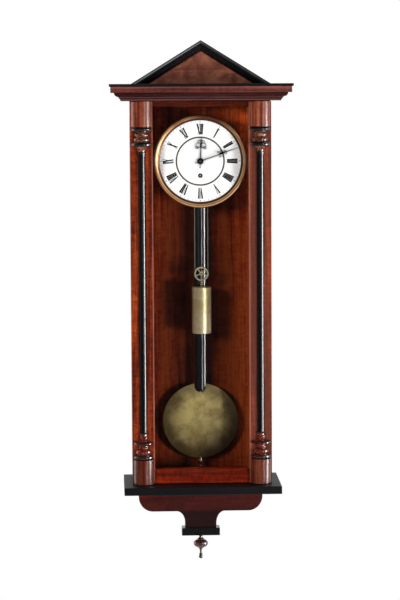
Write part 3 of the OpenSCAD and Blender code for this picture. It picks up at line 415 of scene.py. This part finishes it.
def enamelled(name):
    finish = Finish(name)
    cloud = finish.noise(finish.place, enamelLook["clouds"])
    fine = finish.noise(finish.place, enamelLook["specks"], detail=2.0)
    specks = finish.rise(fine, 0.66, 0.74) * enamelLook["speckShare"]
    share = finish.rise(cloud, 0.45, 0.7)
    colour = finish.mix(tint(*enamelLook["white"]), tint(*enamelLook["shade"]), share)
    return finish.surface({
        **polish(enamelLook),
        "Base Color": finish.mix(colour, tint(*enamelLook["speck"]), specks),
        "Roughness": enamelLook["rough"] + cloud * 0.06,
        "Normal": finish.bump(cloud, 0.00001, 0.3),
    })


glassLook = {"dust": 60.0, "rough": 0.02, "bend": 1.2, "gloss": 0.35}


def pane(name, haze, clear):
    # haze is what dust adds to the gloss, clear how much light comes through
    finish = Finish(name)
    dust = finish.noise(finish.place, glassLook["dust"], detail=4.0, rough=0.6)
    through = finish.node("ShaderNodeBsdfTransparent", {}, {"Color": (clear, clear, clear, 1)})
    mirror = {"Color": (1, 1, 1, 1), "Roughness": glassLook["rough"]}
    gloss = finish.node("ShaderNodeBsdfGlossy", {}, mirror)
    edge = finish.node("ShaderNodeFresnel", {}, {"IOR": glassLook["bend"]})
    share = edge * glassLook["gloss"] + finish.rise(dust, 0.5, 0.8) * haze
    both = finish.node("ShaderNodeMixShader", {}, {0: share, 1: through, 2: gloss})
    finish.node("ShaderNodeOutputMaterial", {}, {"Surface": both})
    return finish.material


gutLook = {"pale": (136, 132, 124), "dark": (98, 92, 84), "twist": 1600.0, "rough": 0.5}


def fibre(name):
    finish = Finish(name)
    twist = finish.noise(finish.stretch((1, 1, 0.4)), gutLook["twist"], detail=2.0)
    return finish.surface({
        "Base Color": finish.mix(tint(*gutLook["pale"]), tint(*gutLook["dark"]), twist),
        "Roughness": gutLook["rough"],
        "Normal": finish.bump(twist, 0.0001, 0.6),
    })


inkLook = {"wear": 160.0, "wearShare": 0.5, "rough": 0.5, "shine": 0.2}


def ink(name, base, faded):
    finish = Finish(name)
    worn = finish.noise(finish.place, inkLook["wear"], rough=0.6)
    share = finish.rise(worn, 0.60, 0.80) * inkLook["wearShare"]
    return finish.surface({
        "Base Color": finish.mix(tint(*base), tint(*faded), share),
        "Roughness": inkLook["rough"] + worn * 0.1,
        "Specular IOR Level": inkLook["shine"],
    })


edgePlan = {
    "weld": 0.000002,  # corners closer than this are one
    "segments": 2,
    "angle": 35,  # sharper edges than this are rounded
}


def dress(name, material, bevel=0.0):
    piece = nodes[name]
    piece.data.materials.clear()
    piece.data.materials.append(material)
    for face in piece.data.polygons:
        face.material_index = 0
    if bevel:
        if "custom_normal" in piece.data.attributes:
            piece.data.attributes.remove(piece.data.attributes["custom_normal"])
        for face in piece.data.polygons:
            face.use_smooth = True
        weld = piece.modifiers.new("weld", "WELD")
        weld.merge_threshold = edgePlan["weld"]
        edge = piece.modifiers.new("edge", "BEVEL")
        edge.width = bevel
        edge.segments = edgePlan["segments"]
        edge.limit_method = "ANGLE"
        edge.angle_limit = math.radians(edgePlan["angle"])
        edge.use_clamp_overlap = True
        even = piece.modifiers.new("even", "WEIGHTED_NORMAL")
        even.keep_sharp = True


# case

stileInner = min(abs(corner.co.x) for corner in nodes["door_stiles"].data.vertices)
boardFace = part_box("backboard")[0].y
tympanum = wood("tympanum burl", grain="x", deep=(40, 16, 11), dark=(74, 34, 25), mid=(102, 52, 38),
                light=(146, 88, 66), burl=0.45, burlScale=30.0, contrast=1.9, lift=0.09, coat=0.2, shine=0.2,
                darker=[((0, 0, -1), -0.12, -0.06, 0.35)], seed=3.1)
# darker towards the bottom: painted shade on the fascia's foot and the downward-facing ogee; the pale bands
# are painted highlights along its arrises
corniceWood = wood("cornice mahogany", grain="x", deep=(30, 6, 5), dark=(88, 40, 36), mid=(124, 66, 58),
                   light=(156, 92, 80), contrast=2.0, coat=0.05, shine=0.06,
                   darker=[((0, 0, -1), -0.0565, -0.0535, 0.3), ((0, 0, -1), -0.0476, -0.0462, 0.85)],
                   edges=[((0, 0, 1), 0.0320, 0.0335, 0.0005, 0.35), ((0, 0, 1), 0.0368, 0.0382, 0.0005, 0.2),
                          ((0, 0, 1), 0.0558, 0.0574, 0.0005, 0.3)], edgeTint=(150, 96, 98), seed=1.4)
# painted light: a hazy sheen over the right stile, a pale highlight line along the stiles' inner edges
stileWood = wood("door mahogany", deep=(40, 10, 4), dark=(88, 26, 8), mid=(138, 52, 20), light=(190, 90, 42),
                 contrast=2.8, rough=0.46, coat=0.08, shine=0.08, sheen=[((1, 0, 0), 0.08, 0.10, 0.12)],
                 edges=[((1, 0, 0), stileInner - 0.0004, stileInner + 0.0020, 0.0005, 0.4)], seed=2.2)
# a dark copy of the door's mahogany: painted shade under the cornice
topRailShadedWood = wood("top rail mahogany", grain="x", deep=(16, 5, 2), dark=(40, 12, 4), mid=(74, 24, 8),
                   light=(104, 40, 14), rough=0.5, coat=0.02, shine=0.06, seed=6.6)
railWood = wood("rail mahogany", grain="x", deep=(44, 7, 2), dark=(82, 17, 3), mid=(126, 32, 6),
                light=(160, 58, 18), rough=0.46, coat=0.08, shine=0.08, seed=5.7)
# painted light: lighter towards the top, against the cornice's shadow; painted shade: darker low and to the
# right, and a dark band down its middle. The last darker entry darkens the board's back and sides
backWood = wood("backboard mahogany", deep=(20, 6, 2), dark=(108, 26, 8), mid=(176, 52, 17),
                light=(230, 102, 42), bands=30.0, patches=6.0, curl=0.17, contrast=2.9, lift=0.15, rough=0.5,
                coat=0.02, shine=0.06,
                darker=[((0, 0, -1), -0.01, 0.12, 0.66), ((0.3, 0, -1), 0.1, 0.4, 0.2),
                        ((0, 1, 0), boardFace + 0.0008, boardFace + 0.0018, 0.6)],
                edges=[((1, 0, 0), -1, 0.022, 0.07, 0.6)], edgeTint=(20, 6, 2), edgeDepth=boardFace + 0.0005,
                seed=7.9)
sideWood = wood("side mahogany", deep=(36, 12, 8), dark=(62, 22, 14), mid=(98, 38, 22), light=(140, 62, 34),
                coat=0.3, seed=4.4)
# darker towards the bottom: painted shade on the lower drums
drumWood = wood("drum mahogany", deep=(48, 11, 6), dark=(98, 36, 20), mid=(154, 80, 54), light=(198, 124, 90),
                patches=20.0, curl=0.1, bands=80.0, contrast=2.0, rough=0.4, coat=0.45, coatRough=0.24,
                shine=0.05, darker=[((0, 0, -1), 0.2, 0.6, 0.6)], seed=8.3)
# darker towards the bottom: painted shade under the base shelf, near black in a band at its foot
apronWood = wood("apron mahogany", grain="x", deep=(26, 9, 8), dark=(58, 18, 14), mid=(90, 27, 20),
                 light=(124, 42, 28), burl=0.15, contrast=1.8, coat=0.15, shine=0.15,
                 darker=[((0, 0, -1), 0.74, 0.80, 0.3), ((0, 0, -1), 0.802, 0.812, 0.95)], seed=6.1)
finialWood = wood("finial mahogany", deep=(20, 8, 6), dark=(46, 20, 16), mid=(74, 36, 26),
                  light=(116, 64, 44), coat=0.8, coatRough=0.1, seed=9.5)
rakeLow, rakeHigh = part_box("pediment_moulding")
rake = {
    "angle": math.atan2(rakeHigh.z - rakeLow.z, (rakeHigh.x - rakeLow.x) / 2),
    "edge": 0.0038,  # how far under the crest its painted highlight lies
}
blackWood = ebonised("ebonised wood", base=(10, 8, 8), shine=0.25, coat=0.25)
# its pale band along the crest is a painted highlight
blackRake = ebonised("ebonised raking moulding", base=(6, 6, 8), shine=0.2, coat=0.25,
                     slope=(rake["angle"], rakeHigh.z - rake["edge"]))
shelfBlack = ebonised("ebonised shelf", base=(5, 6, 9), wear=0.15, rough=0.5, coat=0.04, coatRough=0.3,
                      shine=0.12)
blackShaft = ebonised("ebonised shaft", base=(6, 6, 9), wear=0.1, rough=0.3, coat=0.5, coatRough=0.16,
                      shine=0)
blackRod = ebonised("ebonised rod", base=(6, 6, 9), wear=0.1, rough=0.3, coat=0.9, coatRough=0.13,
                    shine=0)
print("woods made")

for name, material, bevel in (
    ("backboard", backWood, 0.0006),
    ("side_frame_left", sideWood, 0.0006),
    ("side_frame_right", sideWood, 0.0006),
    ("case_floor", railWood, 0.0005),
    ("top_board", corniceWood, 0.0005),
    ("base_shelf", shelfBlack, 0.0012),
    ("cornice_moulding", corniceWood, 0.0004),
    ("cornice_cap", blackWood, 0.0006),
    ("pediment_panel", tympanum, 0.0004),
    ("pediment_moulding", blackRake, 0.0004),
    ("apron", apronWood, 0.0008),
    ("lower_shelf", blackWood, 0.001),
    ("door_stiles", stileWood, 0.0012),
    ("door_top_rail", topRailShadedWood, 0.0006),
    ("door_bottom_rail", railWood, 0.0010),
    ("glass_beads", stileWood, 0.0004),
    ("column_drums", drumWood, 0.0005),
    ("column_shafts", blackShaft, 0),
    ("drop_finial", finialWood, 0),
    ("pendulum_rod", blackRod, 0),
):
    dress(name, material, bevel)


def ringsOver(name, offsets):
    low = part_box(name)[0].z
    return [(low + start, low + end) for start, end in offsets]


capitalRings = ringsOver("column_capitals", ((-0.001, 0.0045), (0.0154, 0.0232), (0.0446, 0.060)))
baseRings = ringsOver("column_bases", ((0.0003, 0.0092), (0.0305, 0.0366), (0.0512, 0.060)))
capitalWood = turnedEnds("capital burl", capitalRings, deep=(22, 10, 8), dark=(48, 22, 14), mid=(80, 42, 28),
                         light=(150, 96, 70), burlScale=120.0, coat=0.6, coatRough=0.08, shine=0.1)
baseWood = turnedEnds("base burl", baseRings, ring=(24, 13, 12), ringShare=0.9, deep=(30, 8, 6),
                      dark=(58, 16, 10), mid=(92, 28, 18), light=(140, 60, 40), burlScale=90.0, coat=0.6,
                      coatRough=0.08, shine=0.1)
dress("column_capitals", capitalWood)
dress("column_bases", baseWood)

# works


def middleOf(name):
    return sum(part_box(name), Vector()) / 2


dialMiddle = middleOf("chapter_ring")
plateBrass = metal("plate brass", drawn="x")
wheelBrass = metal("wheel brass", bright=(226, 200, 138), dull=(190, 162, 100))
centreBrass = metal("centre wheel brass", bright=(226, 200, 138), dull=(190, 162, 100), spot=(18, 18, 24),
                    centre=dialMiddle, rings=[(-1, 0.0024, 0.0003, 1.0)])
# painted shade in the winding hole: a dark ring round the square; the near-white, less metallic centre is a
# painted glint on the square
barrelBrass = metal("barrel brass", bright=(255, 250, 238), dull=(236, 222, 190), spot=(16, 14, 12),
                    metallic=0.4, centre=middleOf("barrel"), rings=[(0.0013, 0.0044, 0.0002, 1.0)])
pulleyBrass = metal("pulley brass", bright=(250, 236, 196), dull=(226, 208, 160), rough=(0.3, 0.42))
# painted shade: dark at the top, a little darker to the right, dark rings on the inner lip and the outer
# edge; the middle ring is patina in its groove
bezelBrass = metal("bezel brass", bright=(255, 205, 148), dull=(226, 164, 104), spot=(74, 29, 15),
                   rough=(0.3, 0.4), metallic=0.75, cloudScale=14.0, spots=0.08, relief=0.000002,
                   tarnish=[((0.2, 0, 1), -0.055, 0.005, 0.97), ((1, 0, 0), 0.03, 0.09, 0.1)],
                   centre=dialMiddle,
                   rings=[(0.070, 0.0853, 0.0004, 0.93), (0.0874, 0.0890, 0.0006, 0.5),
                          (0.0914, 0.099, 0.0006, 0.85)])
grooveBrass = metal("groove brass", bright=(150, 122, 82), dull=(100, 78, 50), rough=(0.3, 0.45))
# painted shade: dark on the right and at the bottom, and round the rim
bobBrass = metal("bob brass", bright=(216, 194, 128), dull=(160, 138, 80), spot=(58, 42, 24),
                 rough=(0.32, 0.46), metallic=0.7, cloudScale=22.0, spots=0.2, drawn="z", streaks=0.08,
                 relief=0.000004, centre=middleOf("pendulum_bob"), wander=0.03,
                 tarnish=[((0.83, 0, -0.55), 0.30, 0.43, 1.0), ((0, 0, -1), 0.725, 0.79, 0.85)],
                 rings=[(0.070, 0.09, 0.028, 0.66)])
nutBrass = metal("nut brass", bright=(214, 200, 168), dull=(170, 150, 112), rough=(0.14, 0.24),
                 relief=0.000001)
weightBrass = metal("weight brass", bright=(226, 208, 164), dull=(198, 178, 130), rough=(0.38, 0.42),
                    drawn="z", metallic=0.85, spots=0.08, relief=0.0000001)
stirrupBrass = metal("stirrup brass", bright=(226, 200, 170), dull=(180, 150, 120))
hangerBrass = metal("hanger brass", bright=(170, 138, 84), dull=(120, 92, 54))
greySteel = metal("grey steel", bright=(176, 178, 182), dull=(128, 128, 130), spot=(74, 60, 50))
castIron = metal("cast bracket", bright=(130, 108, 66), dull=(82, 66, 40), rough=(0.4, 0.6), relief=0.00006)
bluedSteel = metal("blued steel", bright=(34, 36, 52), dull=(20, 20, 28), spot=(40, 30, 26),
                   rough=(0.16, 0.3), cloudScale=90.0)
# a pale ring on the minute hand's boss: a painted highlight
handSteel = metal("hand steel", bright=(34, 36, 52), dull=(20, 20, 28), spot=(150, 152, 160), spots=0,
                  rough=(0.2, 0.3), cloudScale=90.0, centre=dialMiddle,
                  rings=[(0.0014, 0.0028, 0.0009, 0.55)])
whiteEnamel = enamelled("white enamel")
doorPane = pane("door pane", 0.01, 0.99)
sidePane = pane("side pane", 0.02, 0.55)  # dark with age: the photo shows little light through it
gutFibre = fibre("gut line")
dialInk = ink("numeral ink", (4, 4, 8), (30, 30, 36))
markInk = ink("minute ink", (90, 90, 96), (150, 150, 152))
grooveShade = ink("groove shade", (44, 34, 28), (80, 66, 52))
# near black: the eyelet's dark metal and the painted shade of the winding hole
eyeletBlack = ink("eyelet black", (3, 3, 4), (16, 14, 13))
print("metals, enamel and glass made")

for material, names in (
    (hangerBrass, ("hanger_plate",)),
    (castIron, ("movement_bracket",)),
    (plateBrass, ("back_plate", "front_plate", "plate_pillars", "dial_feet", "dial_plate", "suspension_cock",
                  "case_hinges", "door_hinges", "pendulum_hook")),
    (greySteel, ("hanger_screws", "line_post", "suspension_spring", "rating_screw", "pallets", "crutch",
                 "cannon_pinion")),
    (wheelBrass, ("minute_wheel", "hour_wheel", "great_wheel", "third_wheel", "escape_wheel")),
    (centreBrass, ("centre_wheel",)),
    (barrelBrass, ("barrel",)),
    (whiteEnamel, ("chapter_ring", "dial_centre")),
    (bezelBrass, ("bezel",)),
    (handSteel, ("minute_hand",)),
    (bluedSteel, ("hour_hand",)),
    (doorPane, ("door_glass",)),
    (sidePane, ("side_glass",)),
    (bobBrass, ("pendulum_bob",)),
    (nutBrass, ("rating_nut",)),
    (stirrupBrass, ("pulley_stirrup",)),
    (weightBrass, ("weight",)),
    (pulleyBrass, ("pulley",)),
    (gutFibre, ("gut_line",)),
):
    for name in names:
        dress(name, material)

# pieces made here


def pieceFrom(name, points, faces, material, body, smooth=False):
    mesh = bpy.data.meshes.new(name)
    mesh.from_pydata(points, [], faces)
    mesh.update()
    piece = bpy.data.objects.new(name, mesh)
    bpy.context.scene.collection.objects.link(piece)
    mesh.materials.append(material)
    for face in mesh.polygons:
        face.use_smooth = smooth
    if body:
        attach(piece, body)
    return piece


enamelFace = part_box("chapter_ring")[0].y
dial = {
    "lift": 0.00001,  # of the painted shapes' backs off the enamel
    "thick": 0.00008,  # how far their fronts stand out of it
    "numeralLow": 0.0534,
    "numeralHigh": 0.0746,
    "stroke": 0.0028,
    "hair": 0.0010,
    "serif": 0.0003,
    "overhang": 0.0002,  # of the serifs past the letters
    "gap": 0.0030,  # from one stroke to the next
    "minuteLow": 0.0775,
    "minuteHigh": 0.0800,
    "minuteHalf": 0.00028,  # half the width of a minute's mark
    "hourHalf": 0.0006,
    "hourDrop": 0.0006,  # how much further in an hour's mark starts
}
dialAxis = (dialMiddle.x, 0, dialMiddle.z)
letters = {  # widths in gaps, the strokes' places as shares of the width
    "I": {"width": 1.0},
    "V": {"width": 1.9, "left": 0.18, "right": 0.84, "foot": (0.6, 0.8)},
    "X": {"width": 2.0, "left": 0.16, "right": 0.84},
}


class DialShapes:
    # flat painted shapes on the dial, a little proud of the enamel
    def __init__(self, face):
        self.points, self.faces, self.face = [], [], face

    def place(self, angle, radius, depth):
        x = dialMiddle.x + radius * math.sin(angle)
        z = dialMiddle.z + radius * math.cos(angle)
        return (x, self.face - depth, z)

    def outline(self, corners):
        # corners are (angle, radius) pairs in order
        start, count = len(self.points), len(corners)
        for depth in (dial["lift"], dial["thick"]):
            self.points += [self.place(angle, radius, depth) for angle, radius in corners]
        front = [start + count + index for index in range(count)]
        self.faces.append(front[::-1])
        self.faces.append([start + index for index in range(count)])
        for index in range(count):
            after = (index + 1) % count
            self.faces.append([start + index, start + after, start + count + after, start + count + index])


def numeralStrokes(shapes, hour, text):
    low, high, serif = dial["numeralLow"], dial["numeralHigh"], dial["serif"]
    middle = (low + high) / 2
    total = sum(dial["gap"] * letters[letter]["width"] for letter in text)
    at = -total / 2
    turn = math.radians(hour * 30)

    def quad(fromLow, toLow, fromHigh, toHigh, bottom, top):
        corners = [(fromLow, bottom), (toLow, bottom), (toHigh, top), (fromHigh, top)]
        shapes.outline([(turn + u / middle, radius) for u, radius in corners])

    thick, hair = dial["stroke"] / 2, dial["hair"] / 2
    for letter in text:
        form = letters[letter]
        width = dial["gap"] * form["width"]
        centre = at + width / 2
        if letter == "I":
            quad(centre - thick, centre + thick, centre - thick, centre + thick, low + serif, high - serif)
        else:
            left, right = at + form["left"] * width, at + form["right"] * width
            if letter == "V":
                near, far = form["foot"]
                quad(centre - thick * near, centre + thick * far, left - thick, left + thick,
                     low, high - serif)
                quad(centre - hair, centre + hair, right - hair, right + hair, low, high - serif)
            else:
                quad(right - thick, right + thick, left - thick, left + thick, low + serif, high - serif)
                quad(left - hair, left + hair, right - hair, right + hair, low + serif, high - serif)
        at += width
    ends = (-total / 2 - dial["overhang"], total / 2 + dial["overhang"])
    for bottom, top in ((high - serif, high), (low, low + serif)):
        quad(ends[0], ends[1], ends[0], ends[1], bottom, top)


numerals = DialShapes(enamelFace)
for hour, text in enumerate(("XII", "I", "II", "III", "IIII", "V", "VI", "VII", "VIII", "IX", "X", "XI")):
    numeralStrokes(numerals, hour, text)
numeralPiece = pieceFrom("dial_numerals", numerals.points, numerals.faces, dialInk, "case")

marks = DialShapes(enamelFace)
for minute in range(60):
    angle = math.radians(minute * 6)
    onHour = minute % 5 == 0
    half = dial["hourHalf"] if onHour else dial["minuteHalf"]
    low = dial["minuteLow"] - (dial["hourDrop"] if onHour else 0)
    high = dial["minuteHigh"]
    marks.outline([(angle - half / low, low), (angle + half / low, low),
                   (angle + half / high, high), (angle - half / high, high)])
markPiece = pieceFrom("dial_minute_marks", marks.points, marks.faces, markInk, "case")


def turned(name, profile, centre, material, body, steps, smooth=True):
    # profile is (radius, depth) pairs, turned about an axis along y into a closed ring
    points, faces = [], []
    count = len(profile)
    for step in range(steps):
        angle = 2 * math.pi * step / steps
        for radius, depth in profile:
            offset = (radius * math.cos(angle), depth, radius * math.sin(angle))
            points.append(tuple(middle + part for middle, part in zip(centre, offset)))
    for step in range(steps):
        nextStep = (step + 1) % steps
        for index in range(count):
            after = (index + 1) % count
            faces.append([step * count + index, nextStep * count + index,
                          nextStep * count + after, step * count + after])
    return pieceFrom(name, points, faces, material, body, smooth)


ringSteps = {"dial": 120, "eyelet": 48}  # sides of the turned rings


def flatRing(name, inner, outer, front, back, material):
    profile = [(inner, front), (outer, front), (outer, back), (inner, back)]
    return turned(name, profile, dialAxis, material, "case", ringSteps["dial"], smooth=False)


groove = {
    "outside": 0.049,
    "shade": 0.0019,  # width of the dark line along its outer edge
    "depth": 0.0012,
    "gap": 0.0001,  # left free between it and the pieces round it
}
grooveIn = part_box("dial_centre")[1].x - dialMiddle.x + groove["gap"]
shadeIn = groove["outside"] - groove["shade"]
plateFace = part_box("dial_plate")[0].y
for name, material, inner, outer in (
    ("dial_groove", grooveBrass, grooveIn, shadeIn),
    ("dial_groove_edge", grooveShade, shadeIn, groove["outside"] - groove["gap"]),
):
    ringPiece = flatRing(name, inner, outer, plateFace - groove["depth"], plateFace - groove["gap"], material)

eyelet = {
    "inside": 0.0023,
    "outside": 0.0045,
    "proud": 0.0004,  # how far it stands out of the enamel
    "flat": 0.0004,  # how far its flat face stays off its edges
    "innerDrop": 0.0002,  # how far its edges fall back
    "outerDrop": 0.0003,
    "taper": 0.0002,
    "sink": 0.0002,  # how far it goes into the plate
}
eyeletAt = (0.0, 0, middleOf("barrel").z)
front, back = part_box("dial_centre")[0].y - eyelet["proud"], plateFace + eyelet["sink"]
eyeletPiece = turned("winding_eyelet", [
    (eyelet["inside"], front + eyelet["innerDrop"]),
    (eyelet["inside"] + eyelet["flat"], front),
    (eyelet["outside"] - eyelet["flat"], front),
    (eyelet["outside"], front + eyelet["outerDrop"]),
    (eyelet["outside"] - eyelet["taper"], back),
    (eyelet["inside"], back),
], eyeletAt, eyeletBlack, "case", ringSteps["eyelet"])

# a dark ring of painted shade at the enamel's edge, where the bezel shades it
bezelShadowRing = {
    "inside": 0.0811,
    "outside": 0.0826,
    "proud": 0.0004,
    "lift": 0.00002,  # of its back off the enamel
}
shadowRingPiece = flatRing("bezel_shadow_ring", bezelShadowRing["inside"], bezelShadowRing["outside"], enamelFace - bezelShadowRing["proud"],
                     enamelFace - bezelShadowRing["lift"], grooveShade)
print("dial painted")

# gut line: from the barrel down, under the pulley and up to its post

line = {
    "radius": 0.0006,
    "sides": 10,
    "rows": 40,  # steps down each strand
    "bends": 24,  # steps of its half turn under the pulley
    "held": 0.001,  # this far above the pulley's centre it goes all the way with the weight
}
lineLow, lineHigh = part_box("gut_line")
pulleyCentre = middleOf("pulley")
strandLeft, strandRight = lineLow.x + line["radius"], lineHigh.x - line["radius"]
wrap = (strandRight - strandLeft) / 2
lineMiddle = (strandLeft + strandRight) / 2
lineY = (lineLow.y + lineHigh.y) / 2
topZ = lineHigh.z


def strand(x, start, end):
    return [(x, lineY, start + (end - start) * row / line["rows"]) for row in range(line["rows"] + 1)]


def tube(name, path, radius, material, sides):
    points, faces = [], []
    for index, spot in enumerate(path):
        before, after = path[max(index - 1, 0)], path[min(index + 1, len(path) - 1)]
        ahead = (Vector(after) - Vector(before)).normalized()
        side = Vector((0, 1, 0))
        up = ahead.cross(side).normalized()
        for step in range(sides):
            angle = 2 * math.pi * step / sides
            out = side * math.cos(angle) * radius + up * math.sin(angle) * radius
            points.append(tuple(Vector(spot) + out))
    for index in range(len(path) - 1):
        for step in range(sides):
            after = (step + 1) % sides
            faces.append([index * sides + step, index * sides + after,
                          (index + 1) * sides + after, (index + 1) * sides + step])
    faces.append(list(range(sides))[::-1])
    faces.append([(len(path) - 1) * sides + step for step in range(sides)])
    return pieceFrom(name, points, faces, material, None, True)


linePath = strand(strandLeft, topZ, pulleyCentre.z)
for step in range(1, line["bends"]):
    angle = math.pi * step / line["bends"]
    linePath.append((lineMiddle - wrap * math.cos(angle), lineY, pulleyCentre.z - wrap * math.sin(angle)))
linePath += strand(strandRight, pulleyCentre.z, topZ)
gutPiece = tube("gut_line_tube", linePath, line["radius"], gutFibre, line["sides"])
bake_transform(gutPiece)
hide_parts("gut_line")
print("gut line hung")

# floor, light and camera

floorPlan = {
    "half": 1.8,
    "height": -1.75,
    "grey": (232, 232, 230),
    "white": (240, 240, 238),
    "clouds": 1.2,
    "rough": 0.8,
}
floorFinish = Finish("pale floor")
floorCloud = floorFinish.noise(floorFinish.place, floorPlan["clouds"], detail=2.0)
floorColour = floorFinish.mix(tint(*floorPlan["grey"]), tint(*floorPlan["white"]), floorCloud)
floorFinish.surface({"Base Color": floorColour, "Roughness": floorPlan["rough"]})
floorCorners = [(x * floorPlan["half"], y * floorPlan["half"], floorPlan["height"])
                for x, y in ((-1, -1), (1, -1), (1, 1), (-1, 1))]
floor = pieceFrom("floor", floorCorners, [[0, 1, 2, 3]], floorFinish.material, None)

sky = {
    "behind": 0.95,  # the white wall side, seen in grazing reflections
    "before": 0.02,  # the dim room before the clock
    "mirrored": 0.15,  # the same room as gloss shows it
    "edge": (-0.35, 0.25),
}
world = bpy.data.worlds.new("studio")
bpy.context.scene.world = world
studio = Finish("studio", world)
direction = studio.node("ShaderNodeTexCoord", {}, {}, "Generated")
behind = studio.rise(studio.axis(1, direction), *sky["edge"])
rays = [studio.node("ShaderNodeLightPath", {}, {}, name) for name in
        ("Is Camera Ray", "Is Transmission Ray", "Is Glossy Ray")]
white = studio.node("ShaderNodeMath", {"operation": "MAXIMUM"}, {0: rays[0], 1: rays[1]})
white = studio.node("ShaderNodeMath", {"operation": "MAXIMUM"}, {0: white, 1: rays[2] * behind})
dim = sky["before"] + rays[2] * (sky["mirrored"] - sky["before"])
room = dim + behind * (sky["behind"] - dim)
glow = studio.node("ShaderNodeBackground", {}, {0: (1, 1, 1, 1), 1: room * (1 - white) + white})
studio.node("ShaderNodeOutputWorld", {}, {0: glow})


def lamp(name, place, target, size, power, lights):
    # a lamp either lights the surfaces or is what their gloss mirrors
    data = bpy.data.lights.new(name, "AREA")
    data.shape = "RECTANGLE"
    data.size, data.size_y = size
    data.energy = power
    made = bpy.data.objects.new(name, data)
    bpy.context.scene.collection.objects.link(made)
    made.visible_diffuse = lights
    made.visible_glossy = not lights
    made.location = place
    made.rotation_euler = (Vector(target) - Vector(place)).to_track_quat("-Z", "Y").to_euler()


# name, place, target, size, watts, and whether it lights
for row in (
    ("left", (-1.90, -2.40, 0.30), (0, 0, -0.3), (0.5, 0.7), 60, True),
    ("right", (2.15, -2.15, -0.75), (0, 0, -0.3), (0.5, 0.6), 67, True),
    ("front", (0.0, -3.6, 0.1), (0, 0, -0.3), (1.4, 1.4), 4, True),
    ("strip", (1.70, -2.50, -0.3), (0, 0, -0.35), (0.34, 3.0), 48, False),
    ("side", (1.82, -0.47, -0.54), (0, -0.15, -0.54), (0.56, 0.94), 125, False),
    ("edge", (-1.8, 0.75, -0.4), (-0.15, -0.1, -0.4), (0.7, 2.0), 12, False),
    ("panel", (-1.0, -4.2, 0.1), (0, 0, -0.4), (1.8, 1.8), 5, False),
):
    lamp(*row)

cameraPlan = {
    "place": (-0.1842, -4.4335, 0.060),
    "yaw": -0.0419,
    "pitch": -0.0979,
    "roll": -0.0053,
    "focal": 2181.9,  # from a fit to the photograph's corners, in its pixels
    "rows": 600,  # the photograph's height in pixels
    "film": 36,
    "far": 50,
}
cameraData = bpy.data.cameras.new("camera")
cameraData.lens = cameraPlan["focal"] * cameraPlan["film"] / cameraPlan["rows"]
cameraData.sensor_width = cameraPlan["film"]
cameraData.clip_end = cameraPlan["far"]
camera = bpy.data.objects.new("camera", cameraData)
bpy.context.scene.collection.objects.link(camera)
camera.matrix_world = (
    Matrix.Translation(cameraPlan["place"])
    @ Matrix.Rotation(cameraPlan["yaw"], 4, "Z")
    @ Matrix.Rotation(math.pi / 2 + cameraPlan["pitch"], 4, "X")
    @ Matrix.Rotation(cameraPlan["roll"], 4, "Z")
)
bpy.context.scene.camera = camera
bpy.context.scene.view_settings.view_transform = "Standard"
print("floor, light and camera set")
